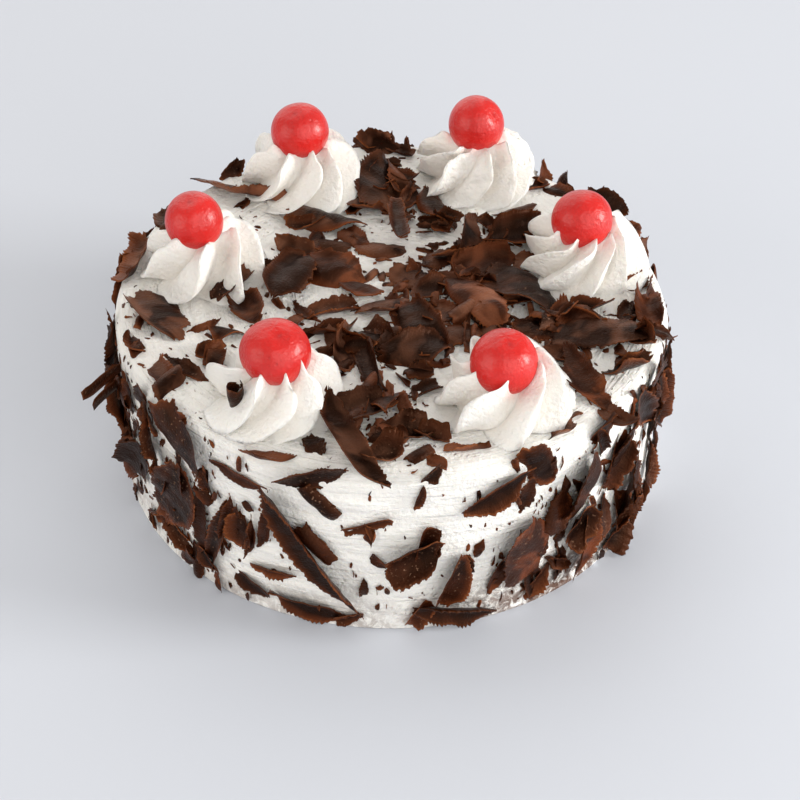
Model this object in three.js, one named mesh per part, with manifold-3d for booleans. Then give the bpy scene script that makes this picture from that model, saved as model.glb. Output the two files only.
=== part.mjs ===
// A round black forest cake: a cake iced with whipped cream, six piped rosettes that each carry a
// glazed cherry, and dark chocolate shavings over its top and wall. Millimetres, +Z up, with the
// origin at the middle of the flat underside.
import * as THREE from "three";
import { mergeVertices } from "three/addons/utils/BufferGeometryUtils.js";
import Module from "manifold-3d";

const wasm = await Module();
wasm.setup();

// Driving dimensions
const cakeRadius = 90;
const cakeHeight = 65;
const edgeRadius = 6; // rounding where the wall meets the top
const footRadius = 1.5;
const knifeDent = 0.9; // the deepest mark of the palette knife
const gap = 0.35; // clearance between neighbouring solids
const rosetteRadius = 22.6;
const rosetteHeight = 16.4;
const cherryRadius = 10;
const shavingThickness = 1;
const pressedIn = 0.8; // how far a small shaving sits in the cream
const smallOnTop = 9;
const smallOnWall = 20;
const placedFront = [240, 300]; // degrees round the wall where only the placed shavings lie
const largeArea = 230; // length times width from which a shaving is a piece of its own

const rad = THREE.MathUtils.degToRad;
const mix = THREE.MathUtils.lerp;

// Seeded draws
function drawsFrom(seed) {
  let state = seed;
  return () => {
    state = (Math.imul(state, 1664525) + 1013904223) >>> 0;
    return state / 4294967296;
  };
}

// Solids
function solidOf(geometry) {
  const bare = new THREE.BufferGeometry();
  bare.setAttribute("position", geometry.getAttribute("position").clone());
  if (geometry.index) bare.setIndex(geometry.index.clone());
  const merged = mergeVertices(bare, 1e-4);
  const index = merged.index.array;
  const faces = [];
  for (let i = 0; i < index.length; i += 3) {
    const [a, b, c] = [index[i], index[i + 1], index[i + 2]];
    if (a !== b && b !== c && c !== a) faces.push(a, b, c);
  }
  const vertProperties = new Float32Array(merged.getAttribute("position").array);
  return new wasm.Manifold(
    new wasm.Mesh({ numProp: 3, vertProperties, triVerts: new Uint32Array(faces) }),
  );
}

function geometryOf(solid) {
  const mesh = solid.getMesh();
  const positions = new Float32Array(mesh.numVert * 3);
  for (let i = 0; i < mesh.numVert; i++)
    positions.set(mesh.vertProperties.subarray(i * mesh.numProp, i * mesh.numProp + 3), i * 3);
  const geometry = new THREE.BufferGeometry();
  geometry.setAttribute("position", new THREE.BufferAttribute(positions, 3));
  geometry.setIndex(new THREE.BufferAttribute(new Uint32Array(mesh.triVerts), 1));
  geometry.computeVertexNormals();
  return geometry;
}

// The largest body of a solid, without scraps and with sealed hollows filled.
function largestBody(solid) {
  const bodies = solid.decompose().sort((a, b) => b.volume() - a.volume());
  return bodies[0];
}

function moveVertices(geometry, place) {
  const at = geometry.getAttribute("position");
  const p = new THREE.Vector3();
  for (let i = 0; i < at.count; i++) {
    p.fromBufferAttribute(at, i);
    place(p);
    at.setXYZ(i, p.x, p.y, p.z);
  }
  return geometry;
}

// The same shape, thicker all round by a small distance along the surface's normals.
function grownBy(geometry, distance) {
  const bare = new THREE.BufferGeometry();
  bare.setAttribute("position", geometry.getAttribute("position").clone());
  bare.setIndex(geometry.index.clone());
  const merged = mergeVertices(bare, 1e-4);
  merged.computeVertexNormals();
  const at = merged.getAttribute("position");
  const normals = merged.getAttribute("normal");
  for (let i = 0; i < at.count; i++) {
    const p = new THREE.Vector3().fromBufferAttribute(at, i);
    p.addScaledVector(new THREE.Vector3().fromBufferAttribute(normals, i), distance);
    at.setXYZ(i, p.x, p.y, p.z);
  }
  merged.deleteAttribute("normal");
  return merged;
}

// The bare cake
// Shallow marks of the palette knife, from 0 to 1, along the wall and across the top.
function wallMarks(angle, z) {
  return 0.5 + 0.32 * Math.sin(7 * angle + 0.9 + z / 13) + 0.18 * Math.sin(12 * angle - z / 9);
}

function topMarks(x, y) {
  return 0.5 + 0.3 * Math.sin(x / 13 + y / 19 + 0.6) + 0.2 * Math.sin(x / 21 - y / 11);
}

// How far a point lies outside the cream; below 0 inside it.
function outsideCake(p) {
  const dentOut = knifeDent * wallMarks(Math.atan2(p.y, p.x), p.z);
  const r = Math.hypot(p.x, p.y) + dentOut - (cakeRadius - edgeRadius);
  const z = p.z + knifeDent * topMarks(p.x, p.y) - (cakeHeight - edgeRadius);
  return Math.hypot(Math.max(r, 0), Math.max(z, 0)) + Math.min(Math.max(r, z), 0) - edgeRadius;
}

function surfaceHeight(r) {
  const over = THREE.MathUtils.clamp(r - (cakeRadius - edgeRadius), 0, edgeRadius * 0.9);
  return cakeHeight - edgeRadius + Math.sqrt(edgeRadius ** 2 - over ** 2);
}

function bareCake() {
  const bottom = [0, cakeRadius * 0.5, cakeRadius - footRadius].map((r) => [r, 0]);
  const wall = [footRadius, 20, 39, cakeHeight - edgeRadius].map((z) => [cakeRadius, z]);
  const edge = [30, 60, 90].map((a) => [
    cakeRadius - edgeRadius * (1 - Math.cos(rad(a))),
    cakeHeight - edgeRadius * (1 - Math.sin(rad(a))),
  ]);
  const top = [60, 30, 0].map((r) => [r, cakeHeight]);
  const profile = [...bottom, ...wall, ...edge, ...top].map(([r, z]) => new THREE.Vector2(r, z));
  const lathe = new THREE.LatheGeometry(profile, 46).rotateX(Math.PI / 2);
  return moveVertices(lathe, (p) => {
    const r = Math.hypot(p.x, p.y);
    if (p.z > cakeHeight - 0.1) p.z -= knifeDent * topMarks(p.x, p.y);
    else if (p.z > footRadius / 2) {
      const shrink = (r - knifeDent * wallMarks(Math.atan2(p.y, p.x), p.z)) / r;
      p.x *= shrink;
      p.y *= shrink;
    }
  });
}

// Rosettes: ridges of a star nozzle, twisted outwards, whose feet follow the top of the cake
const rosettes = [
  { at: [-31.8, 60.0], turn: 10, ridges: 8, size: 0.98 },
  { at: [29.1, 64.5], turn: 32, ridges: 9, size: 0.98 },
  { at: [-61.0, 8.2], turn: 55, ridges: 7, size: 0.97 },
  { at: [62.2, 12.0], turn: 20, ridges: 9, size: 0.94 },
  { at: [-35.0, -57.2], turn: 5, ridges: 8, size: 0.98 },
  { at: [33.9, -56.5], turn: 38, ridges: 8, size: 0.97 },
];
const ridgeTwist = rad(-46);
// How far out and how high the ridge and the groove run, from the cherry's seat to the foot
const ridgeRun = [[0.26, 1.0], [0.52, 1.0], [0.74, 0.93], [0.91, 0.6], [1.0, 0.16], [0.97, 0.0]];
const grooveRun = [[0.26, 0.98], [0.46, 0.8], [0.6, 0.66], [0.74, 0.38], [0.83, 0.12], [0.81, 0.0]];

function along(run, s) {
  const k = Math.min(Math.floor(s * (run.length - 1)), run.length - 2);
  const t = s * (run.length - 1) - k;
  return [mix(run[k][0], run[k + 1][0], t), mix(run[k][1], run[k + 1][1], t)];
}

// From 0 in a groove to 1 on a ridge, with one side of each ridge steeper than the other.
function ridgeWave(phase) {
  const t = phase - Math.floor(phase);
  const peak = 2 / 3;
  const side = t < peak ? t / peak : (1 - t) / (1 - peak);
  return Math.pow(side, 1.15);
}

function rosetteShape(rosette) {
  const samples = 3;
  const rings = ridgeRun.length + 1;
  const sphere = new THREE.SphereGeometry(1, rosette.ridges * samples, rings);
  sphere.rotateX(Math.PI / 2);
  const radius = rosetteRadius * rosette.size;
  const uneven = drawsFrom(rosette.turn * 97 + 11);
  const reach = Array.from({ length: rosette.ridges }, () => 0.94 + 0.1 * uneven());
  return moveVertices(sphere, (p) => {
    const polar = (Math.acos(THREE.MathUtils.clamp(p.z, -1, 1)) / Math.PI) * rings;
    const around = (Math.atan2(p.y, p.x) / (2 * Math.PI) + 1) * rosette.ridges;
    let out = 0;
    let up = polar < 1 ? rosetteHeight : 0;
    let angle = Math.atan2(p.y, p.x) + rad(rosette.turn);
    if (polar > 0.5 && polar < rings - 0.5) {
      const s = THREE.MathUtils.clamp((polar - 1) / (rings - 2), 0, 1);
      const wave = ridgeWave(around);
      const ridge = along(ridgeRun, s);
      const groove = along(grooveRun, s);
      const own = reach[Math.floor(around + 0.02) % rosette.ridges];
      out = radius * mix(groove[0], ridge[0] * own, wave);
      up = rosetteHeight * mix(groove[1], ridge[1], wave);
      angle += ridgeTwist * s ** 1.3;
    }
    p.set(rosette.at[0] + out * Math.cos(angle), rosette.at[1] + out * Math.sin(angle), 0);
    p.z = surfaceHeight(Math.hypot(p.x, p.y)) + gap + up;
  });
}

// Cherries: each with a dimple where the stalk was, pressed into its rosette; rise is the height
// of its middle above the cake's top
const cherries = [
  { size: [1.0, 0.98, 0.98], shift: [-0.1, 1.8], rise: 21, dimple: [-28, 20] },
  { size: [0.96, 0.95, 1.02], shift: [-0.3, 3], rise: 21, dimple: [60, 50] },
  { size: [0.94, 0.95, 0.99], shift: [-2.6, 0.8], rise: 19.5, dimple: [-25, 15] },
  { size: [0.99, 0.97, 0.99], shift: [-0.6, 1], rise: 19, dimple: [170, 65] },
  { size: [1.07, 1.04, 1.0], shift: [1, 0.6], rise: 18.5, dimple: [25, 22] },
  { size: [1.02, 1.0, 1.0], shift: [-0.3, -1.8], rise: 17, dimple: [25, 18] },
];

function cherryShape(k) {
  const { size, shift, rise, dimple } = cherries[k];
  const [x, y] = rosettes[k].at;
  const sphere = new THREE.SphereGeometry(1, 12, 8).rotateX(Math.PI / 2);
  const stalk = new THREE.Vector3(0, 0, 1)
    .applyAxisAngle(new THREE.Vector3(1, 0, 0), rad(dimple[1]))
    .applyAxisAngle(new THREE.Vector3(0, 0, 1), rad(dimple[0]));
  return moveVertices(sphere, (p) => {
    const pull = 1 - 0.07 * Math.exp(-((p.angleTo(stalk) / 0.32) ** 2));
    p.multiplyScalar(cherryRadius * pull);
    p.set(p.x * size[0], p.y * size[1], p.z * size[2]);
    p.add(new THREE.Vector3(x + shift[0], y + shift[1], cakeHeight + rise));
  });
}

// Chocolate shavings
// ends: width at the two ends against the middle; slant: how obliquely the ends are broken;
// lop: 1 keeps one long side straight; arch: bend along the length in degrees
const kinds = {
  blade: { ends: [0.3, 0.12], slant: 0.3, lop: 0.8, arch: 14 },
  shard: { ends: [0.72, 0.42], slant: 0.28, lop: 0.35, arch: 12 },
  leaf: { ends: [0.4, 0.1], slant: 0, lop: 0, arch: 22 },
  strip: { ends: [0.9, 0.78], slant: 0.16, lop: 0.1, arch: 8 },
  roll: { ends: [0.95, 0.85], slant: 0.1, lop: 0, arch: 4 },
};

// Placed shavings, from the lowest to the uppermost. On the top, at is x and y; on the wall it is the
// angle round the cake and the height. turn is the heading, curl the bend across the width (over 0
// opens outwards), lean tips one long side up, tip raises one end, rise lifts it onto its neighbours.
const onTop = [
  { kind: "shard", at: [-75, -17], turn: -62, size: [26, 17], curl: -30, lean: -4 },
  { kind: "blade", at: [-63, -43], turn: -40, size: [20, 5.5], curl: 70, lean: 10 },
  { kind: "roll", at: [-51, -4], turn: 55, size: [17, 8], curl: 150, rise: 4 },
  { kind: "shard", at: [-45, -13], turn: -72, size: [18, 11], curl: 35, lean: 24 },
  { kind: "blade", at: [-52, 51], turn: -22, size: [42, 12], curl: -60, lean: -12 },
  { kind: "shard", at: [-22, 37], turn: -14, size: [27, 14], curl: -110, lean: -6 },
  { kind: "blade", at: [-32, 21], turn: -25, size: [15, 8], curl: 50, lean: 8 },
  { kind: "shard", at: [-39, 7], turn: -10, size: [15, 10], curl: -40 },
  { kind: "shard", at: [-4, 55], turn: 65, size: [24, 20], curl: -70, lean: 18 },
  { kind: "blade", at: [-1, 21], turn: 2, size: [22, 9], curl: -80 },
  { kind: "shard", at: [41, 29], turn: 28, size: [22, 13], curl: 45, lean: 16 },
  { kind: "shard", at: [42, -2], turn: -48, size: [27, 21], curl: -55, lean: -6 },
  { kind: "shard", at: [30, 9], turn: 12, size: [22, 15], curl: -45, tip: 6 },
  { kind: "shard", at: [16, -13], turn: -30, size: [15, 11], curl: -50 },
  { kind: "shard", at: [9, -22], turn: -62, size: [23, 15], curl: -75, lean: 6 },
  { kind: "shard", at: [-3, -12], turn: 8, size: [16, 12], curl: -90, rise: 1 },
  { kind: "shard", at: [-15, -35], turn: 82, size: [18, 10], curl: 45, lean: 22 },
  { kind: "shard", at: [8, -34], turn: 10, size: [22, 14], curl: -50, lean: 10 },
  { kind: "blade", at: [-6, -44], turn: -72, size: [26, 8], curl: 80, lean: 20, rise: 1.5 },
  { kind: "shard", at: [-9, -63], turn: 22, size: [21, 12], curl: 30, lean: -10 },
  { kind: "shard", at: [4, -71], turn: -8, size: [19, 10], curl: 60, lean: 8 },
  { kind: "blade", at: [-12, -79], turn: -60, size: [37, 10.5], curl: 75, tip: -17, rise: 0.6 },
  { kind: "shard", at: [47, -20], turn: -16, size: [17, 12], curl: -35 },
  { kind: "strip", at: [27, -8], turn: -55, size: [30, 14], curl: -85, lean: 8, rise: 2.5 },
  { kind: "strip", at: [66, -25], turn: -5, size: [30, 15], curl: -60, lean: 8 },
  { kind: "blade", at: [59, -49], turn: -64, size: [35, 11], curl: 45, tip: -6 },
  { kind: "shard", at: [74, -39], turn: 32, size: [19, 12], curl: 35, lean: -14 },
  { kind: "shard", at: [-19, 7], turn: -22, size: [20, 16], curl: -75, rise: 1 },
  { kind: "leaf", at: [-33, 2], turn: 68, size: [25, 15], curl: -80, lean: -14, rise: 1 },
  { kind: "blade", at: [15, 44], turn: -62, size: [25, 10], curl: -80, lean: -10 },
  { kind: "strip", at: [2, 30], turn: -84, size: [28, 7], curl: 60, rise: 3.5, tip: -5 },
  { kind: "leaf", at: [25, 24], turn: 72, size: [24, 11], curl: 45, lean: 50, rise: 1 },
  { kind: "blade", at: [42, 44], turn: 10, size: [17, 8], curl: -50 },
  { kind: "strip", at: [-6, 85], turn: -20, size: [17, 8.5], curl: 60, lean: 40 },
  { kind: "shard", at: [74, 46], turn: -55, size: [17, 11], curl: 30, lean: 50 },
  { kind: "strip", at: [-83, 14], turn: 82, size: [24, 9], curl: 40, lean: -52 },
  { kind: "strip", at: [84, -10], turn: -80, size: [18, 9], curl: 70, lean: 24 },
];
const onWall = [
  { kind: "shard", at: [224, 33], turn: 78, size: [27, 19], curl: 30, lean: 8 },
  { kind: "blade", at: [216.5, 49], turn: -78, size: [28, 9], curl: 40, lean: 20 },
  { kind: "shard", at: [226.5, 57], turn: -50, size: [24, 17], curl: -25, rise: 1.2 },
  { kind: "strip", at: [234, 24], turn: 74, size: [35, 6.5], curl: 50, lean: 10 },
  { kind: "blade", at: [254, 31], turn: -57, size: [56, 11], curl: 35, lean: 6 },
  { kind: "shard", at: [275, 33], turn: 18, size: [18, 15], curl: 85 },
  { kind: "shard", at: [283, 22], turn: 76, size: [21, 11], curl: 70, lean: 8 },
  { kind: "shard", at: [297, 27], turn: 68, size: [26, 19], curl: -25, lean: 10 },
  { kind: "blade", at: [291.5, 54], turn: 30, size: [25, 9.5], curl: 60 },
  { kind: "leaf", at: [283.5, 8], turn: -14, size: [27, 10], curl: 50, lean: 6 },
  { kind: "shard", at: [310, 44], turn: 62, size: [24, 17], curl: -40, lean: 8 },
  { kind: "leaf", at: [312, 18], turn: 80, size: [28, 13], curl: 70, lean: 14 },
  { kind: "shard", at: [325, 27], turn: 72, size: [24, 13], curl: 50, lean: 16 },
  { kind: "blade", at: [331, 52], turn: -62, size: [24, 10], curl: 40, lean: 12 },
  { kind: "shard", at: [299.5, 60], turn: -62, size: [19, 10], curl: -40, lean: 6 },
  { kind: "strip", at: [256, 36], turn: -50, size: [15, 7], curl: -130, rise: 1.5 },
  { kind: "blade", at: [256, 62], turn: 14, size: [22, 8.5], curl: 30, lean: 8 },
  { kind: "blade", at: [254, 6], turn: -14, size: [25, 9], curl: 40 },
];

// The frame of a place on the cake: x along the shaving, y across it, z out of the cream.
function frameAt(shaving, wall) {
  const out = new THREE.Vector3(0, 0, 1);
  const east = new THREE.Vector3(1, 0, 0);
  const at = new THREE.Vector3(shaving.at[0], shaving.at[1], cakeHeight);
  if (wall) {
    const angle = rad(shaving.at[0]);
    out.set(Math.cos(angle), Math.sin(angle), 0);
    east.set(-Math.sin(angle), Math.cos(angle), 0);
    at.copy(out).multiplyScalar(cakeRadius).setZ(shaving.at[1]);
  }
  const north = new THREE.Vector3().crossVectors(out, east);
  const frame = new THREE.Matrix4().makeBasis(east, north, out);
  frame.multiply(new THREE.Matrix4().makeRotationZ(rad(shaving.turn)));
  frame.multiply(new THREE.Matrix4().makeRotationY(rad(-(shaving.tip ?? 0))));
  frame.multiply(new THREE.Matrix4().makeRotationX(rad(shaving.lean ?? 0)));
  return { frame, at, out };
}

// A point of the shaving's middle surface; u runs along it and v across it, both from -1 to 1.
function shavingPoint(shaving, u, v) {
  const kind = kinds[shaving.kind];
  const [length, width] = shaving.size;
  const end = u < 0 ? kind.ends[0] : kind.ends[1];
  const half = (width / 2) * mix(1, end, Math.abs(u) ** 1.8);
  const across = v * half + kind.lop * (width / 2 - half);
  const ahead = (u * length) / 2 + kind.slant * v * half;
  const curl = rad(shaving.curl || 1);
  const arch = rad(kind.arch);
  const curlRadius = width / curl;
  const archRadius = length / arch;
  const p = new THREE.Vector3();
  p.y = curlRadius * Math.sin(across / curlRadius);
  p.x = archRadius * Math.sin(ahead / archRadius);
  p.z = curlRadius * (1 - Math.cos(across / curlRadius));
  p.z -= archRadius * (1 - Math.cos(ahead / archRadius));
  return p;
}

// A closed thin sheet, both of whose faces are split into triangles alike.
function thinSheet(stepsLong, stepsWide, thickness, middle) {
  const plane = new THREE.PlaneGeometry(2, 2, stepsLong, stepsWide);
  const flat = plane.getAttribute("position");
  const count = flat.count;
  const positions = [];
  for (const side of [thickness / 2, -thickness / 2])
    for (let i = 0; i < count; i++) {
      const [u, v] = [flat.getX(i), flat.getY(i)];
      const step = 0.02;
      const alongU = middle(u + step, v).sub(middle(u - step, v));
      const alongV = middle(u, v + step).sub(middle(u, v - step));
      const normal = alongU.cross(alongV).normalize();
      positions.push(...middle(u, v).addScaledVector(normal, side).toArray());
    }
  const faces = [];
  const index = plane.index.array;
  for (let i = 0; i < index.length; i += 3) {
    const [a, b, c] = [index[i], index[i + 1], index[i + 2]];
    faces.push(a, b, c, a + count, c + count, b + count);
  }
  const row = stepsLong + 1;
  const loop = [];
  for (let j = 0; j < stepsWide; j++) loop.push(j * row);
  for (let i = 0; i < stepsLong; i++) loop.push(stepsWide * row + i);
  for (let j = stepsWide; j > 0; j--) loop.push(j * row + stepsLong);
  for (let i = stepsLong; i > 0; i--) loop.push(i);
  loop.forEach((p, i) => {
    const q = loop[(i + 1) % loop.length];
    faces.push(q, p, p + count, q, p + count, q + count);
  });
  const sheet = new THREE.BufferGeometry();
  sheet.setAttribute("position", new THREE.Float32BufferAttribute(positions, 3));
  sheet.setIndex(faces);
  return sheet;
}

// The shaving on the cake: its lowest point ends up depth above the bare cream, and above the foot.
function shavingSolid(shaving, wall, depth, steps, grow) {
  const { frame, at, out } = frameAt(shaving, wall);
  const grown = { ...shaving, size: shaving.size.map((s) => s + 2 * grow) };
  const build = (piece, thickness) =>
    thinSheet(...steps, thickness, (u, v) => shavingPoint(piece, u, v)).applyMatrix4(frame);
  const resting = build(shaving, shavingThickness);
  const corner = new THREE.Vector3();
  const positions = resting.getAttribute("position");
  const shift = at.clone();
  for (let round = 0; round < 4; round++) {
    let lowest = Infinity;
    let foot = Infinity;
    for (let i = 0; i < positions.count; i++) {
      corner.fromBufferAttribute(positions, i).add(shift);
      lowest = Math.min(lowest, outsideCake(corner));
      foot = Math.min(foot, corner.z);
    }
    shift.addScaledVector(out, depth - lowest);
    shift.z += Math.max(0, 2 * gap - foot);
  }
  const placed = grow ? build(grown, shavingThickness + 2 * grow) : resting;
  return solidOf(placed.translate(shift.x, shift.y, shift.z));
}

// Small shavings are spread by seeded draws, clear of the rosettes and of the placed shavings.
const smallKinds = ["shard", "blade", "leaf", "strip", "roll"];

function arcPlace(shaving) {
  const angle = rad(shaving.at[0]);
  return new THREE.Vector2(angle * cakeRadius, shaving.at[1]);
}

function smallShavings(count, wall, seed) {
  const draw = drawsFrom(seed);
  const placed = (wall ? onWall : onTop).map((s) => ({ s, spread: 0.3 }));
  const made = [];
  while (made.length < count) {
    const share = made.length / count;
    const kind = smallKinds[Math.floor(draw() * smallKinds.length)];
    const length = mix(wall ? 20 : 14, 8, share) * (0.8 + 0.5 * draw());
    const width = length * (0.35 + 0.4 * draw());
    const curl = (draw() < 0.5 ? -1 : 1) * (40 + 90 * draw());
    const turn = 360 * draw();
    const [first, second] = [draw(), draw()];
    const lean = (draw() - 0.5) * 40;
    const r = (cakeRadius - edgeRadius) * Math.sqrt(first);
    const at = wall
      ? [360 * first, 7 + (cakeHeight - 14) * second]
      : [r * Math.cos(2 * Math.PI * second), r * Math.sin(2 * Math.PI * second)];
    const shaving = { kind, at, turn, size: [length, width], curl, lean };
    const clearOf = ({ s, spread }) => {
      const reach = spread * (length + (s.size[0] + s.size[1]) / 2);
      if (!wall) return Math.hypot(s.at[0] - at[0], s.at[1] - at[1]) > reach;
      const away = arcPlace(s).sub(arcPlace(shaving));
      const turnRound = 2 * Math.PI * cakeRadius;
      away.x -= turnRound * Math.round(away.x / turnRound);
      return away.length() > reach;
    };
    const offRosettes = rosettes.every(
      (o) => wall || Math.hypot(o.at[0] - at[0], o.at[1] - at[1]) > rosetteRadius + length * 0.3,
    );
    const inFront = wall && at[0] > placedFront[0] && at[0] < placedFront[1];
    if (inFront || !offRosettes || !placed.every(clearOf)) continue;
    placed.push({ s: shaving, spread: 0.42 });
    made.push(shaving);
  }
  return made;
}

// Assembly
const cake = new THREE.Group();
cake.name = "black_forest_cake";

const cream = { color: 0xf4f0e8, roughness: 0.5, metalness: 0 };
const glazedCherry = { color: 0xd5201f, roughness: 0.3, metalness: 0 };
const darkChocolate = { color: 0x3a1a10, roughness: 0.4, metalness: 0 };

// Each mesh has its own origin and turn, given by its frame; the solids are made where they lie.
function addPiece(name, solid, looks, frame = new THREE.Matrix4()) {
  const geometry = geometryOf(solid).applyMatrix4(frame.clone().invert());
  const mesh = new THREE.Mesh(geometry, new THREE.MeshStandardMaterial(looks));
  mesh.name = name;
  mesh.applyMatrix4(frame);
  cake.add(mesh);
}

const rosetteGrown = rosettes.map((rosette) => {
  const shape = rosetteShape(rosette);
  return solidOf(grownBy(shape, 1.3 * gap)).add(solidOf(shape));
});
const placedShavings = [
  ...onWall.map((shaving) => ({ shaving, wall: true })),
  ...onTop.map((shaving) => ({ shaving, wall: false })),
];
const isLarge = ({ shaving }) => shaving.size[0] * shaving.size[1] >= largeArea;

// Grid steps along and across a shaving, by its length and its bend.
function stepsOf({ size, curl }) {
  const long = size[0] > 30 ? 6 : size[0] > 16 ? 4 : 2;
  const wide = Math.abs(curl) > 60 && size[0] > 16 ? 3 : 2;
  return [long, wide];
}
const large = placedShavings.filter(isLarge).map(({ shaving, wall }) => {
  const depth = gap + (shaving.rise ?? 0);
  const { frame, at } = frameAt(shaving, wall);
  return {
    frame: frame.clone().setPosition(at),
    solid: shavingSolid(shaving, wall, depth, stepsOf(shaving), 0),
    grown: shavingSolid(shaving, wall, depth, stepsOf(shaving), gap),
  };
});

// Each large shaving gives way to the rosettes and to the shavings that lie on it.
large.forEach(({ solid, frame }, k) => {
  let cut = solid;
  for (const grown of [...rosetteGrown, ...large.slice(k + 1).map((l) => l.grown)])
    cut = cut.subtract(grown);
  const name = `large_shaving_${String(k + 1).padStart(2, "0")}`;
  addPiece(name, largestBody(cut), darkChocolate, frame);
});

// The iced cake, with the small shavings that stick to its cream
const small = [
  ...placedShavings.filter((p) => !isLarge(p)),
  ...smallShavings(smallOnWall, true, 2024).map((shaving) => ({ shaving, wall: true })),
  ...smallShavings(smallOnTop, false, 77).map((shaving) => ({ shaving, wall: false })),
];
let iced = solidOf(bareCake());
for (const { shaving, wall } of small)
  iced = iced.add(shavingSolid(shaving, wall, -pressedIn, stepsOf(shaving), 0));
for (const grown of [...rosetteGrown, ...large.map((l) => l.grown)]) iced = iced.subtract(grown);
addPiece("iced_cake", largestBody(iced), cream);

rosettes.forEach((rosette, k) => {
  const seat = solidOf(grownBy(cherryShape(k), gap));
  const seated = solidOf(rosetteShape(rosette)).subtract(seat);
  const spot = new THREE.Matrix4().makeTranslation(...rosette.at, cakeHeight + gap);
  addPiece(`rosette_${k + 1}`, largestBody(seated), cream, spot);
  addPiece(`cherry_${k + 1}`, solidOf(cherryShape(k)), glazedCherry, spot);
});

export default cake;
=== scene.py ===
import bpy
import bmesh
from math import acos, atan2, ceil, copysign, cos, degrees, exp, floor, hypot, pi, radians, sin, sqrt
from mathutils import Matrix, Quaternion, Vector, noise


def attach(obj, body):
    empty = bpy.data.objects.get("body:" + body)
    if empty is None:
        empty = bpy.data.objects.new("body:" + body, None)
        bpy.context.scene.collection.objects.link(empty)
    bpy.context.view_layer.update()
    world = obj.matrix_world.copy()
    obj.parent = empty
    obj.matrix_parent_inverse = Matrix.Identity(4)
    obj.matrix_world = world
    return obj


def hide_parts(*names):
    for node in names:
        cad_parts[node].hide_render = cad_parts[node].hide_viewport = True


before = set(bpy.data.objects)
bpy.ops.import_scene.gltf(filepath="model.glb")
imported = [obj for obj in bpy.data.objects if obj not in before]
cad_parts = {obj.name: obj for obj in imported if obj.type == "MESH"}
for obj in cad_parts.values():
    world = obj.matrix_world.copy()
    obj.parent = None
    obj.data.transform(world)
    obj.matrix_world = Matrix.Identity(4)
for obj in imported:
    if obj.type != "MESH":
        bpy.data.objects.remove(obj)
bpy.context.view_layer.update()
mm = 0.001


# Small helpers

def drawsFrom(seed):
    state = [seed]

    def draw():
        state[0] = (state[0] * 1664525 + 1013904223) & 0xFFFFFFFF
        return state[0] / 4294967296
    return draw


def mix(a, b, t):
    return a + (b - a) * t


def clamp(value, low=0.0, high=1.0):
    return min(max(value, low), high)


def smooth(low, high, value):
    t = clamp((value - low) / (high - low))
    return t * t * (3 - 2 * t)


def hillsAt(x, y, z, scale, seed=0.0):
    # soft noise from -1 to 1 whose hills are about one scale apart, in millimetres
    return noise.noise(Vector((x / scale + seed, y / scale - seed, z / scale + 0.7 * seed)))


def apart(a, b):
    return hypot(b[0] - a[0], b[1] - a[1])


def meshFrom(shape, name):
    mesh = bpy.data.meshes.new(name)
    shape.to_mesh(mesh)
    shape.free()
    return mesh


def addObject(name, data):
    added = bpy.data.objects.new(name, data)
    bpy.context.collection.objects.link(added)
    return added


def pieceFrom(shape, name, material):
    # millimetres in the bmesh, metres in the object
    bmesh.ops.scale(shape, vec=(mm, mm, mm), verts=shape.verts)
    mesh = meshFrom(shape, name)
    for face in mesh.polygons:
        face.use_smooth = True
    piece = addObject(name, mesh)
    mesh.materials.append(material)
    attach(piece, "root")
    return piece


# Materials

def addNode(tree, kind, at, **settings):
    node = tree.nodes.new(kind)
    node.location = at
    for name, value in settings.items():
        setattr(node, name, value)
    return node


def noiseNode(tree, at, vector, scale, detail=3.0, roughness=0.55, distortion=0.0):
    node = addNode(tree, "ShaderNodeTexNoise", at)
    node.inputs["Scale"].default_value = scale
    node.inputs["Detail"].default_value = detail
    node.inputs["Roughness"].default_value = roughness
    node.inputs["Distortion"].default_value = distortion
    tree.links.new(vector, node.inputs["Vector"])
    return node.outputs[0]


def rangeNode(tree, at, value, fromLow, fromHigh, toLow=0.0, toHigh=1.0):
    node = addNode(tree, "ShaderNodeMapRange", at)
    tree.links.new(value, node.inputs["Value"])
    for name, number in zip(("From Min", "From Max", "To Min", "To Max"), (fromLow, fromHigh, toLow, toHigh)):
        node.inputs[name].default_value = number
    return node.outputs[0]


def feed(tree, socket, value):
    # a number or a colour is set on the socket, and another node's output is linked to it
    if isinstance(value, (int, float)):
        socket.default_value = value
    elif isinstance(value, tuple):
        socket.default_value = (*value, 1.0)
    else:
        tree.links.new(value, socket)


def mathNode(tree, at, operation, a, b):
    node = addNode(tree, "ShaderNodeMath", at, operation=operation)
    feed(tree, node.inputs[0], a)
    feed(tree, node.inputs[1], b)
    return node.outputs[0]


def mixColours(tree, at, factor, a, b):
    node = addNode(tree, "ShaderNodeMix", at, data_type="RGBA")
    for k, value in ((0, factor), (6, a), (7, b)):
        feed(tree, node.inputs[k], value)
    return node.outputs[2]


def attributeNode(tree, at, name):
    return addNode(tree, "ShaderNodeAttribute", at, attribute_name=name)


def newGroup(name, numbersIn, numbersOut):
    group = bpy.data.node_groups.new(name, "ShaderNodeTree")
    group.interface.new_socket("Vector", in_out="INPUT", socket_type="NodeSocketVector")
    for label, value in numbersIn.items():
        socket = group.interface.new_socket(label, in_out="INPUT", socket_type="NodeSocketFloat")
        socket.default_value = value
    for label in numbersOut:
        group.interface.new_socket(label, in_out="OUTPUT", socket_type="NodeSocketFloat")
    start = addNode(group, "NodeGroupInput", (-900, 0))
    end = addNode(group, "NodeGroupOutput", (700, 0))
    return group, start, end


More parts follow.
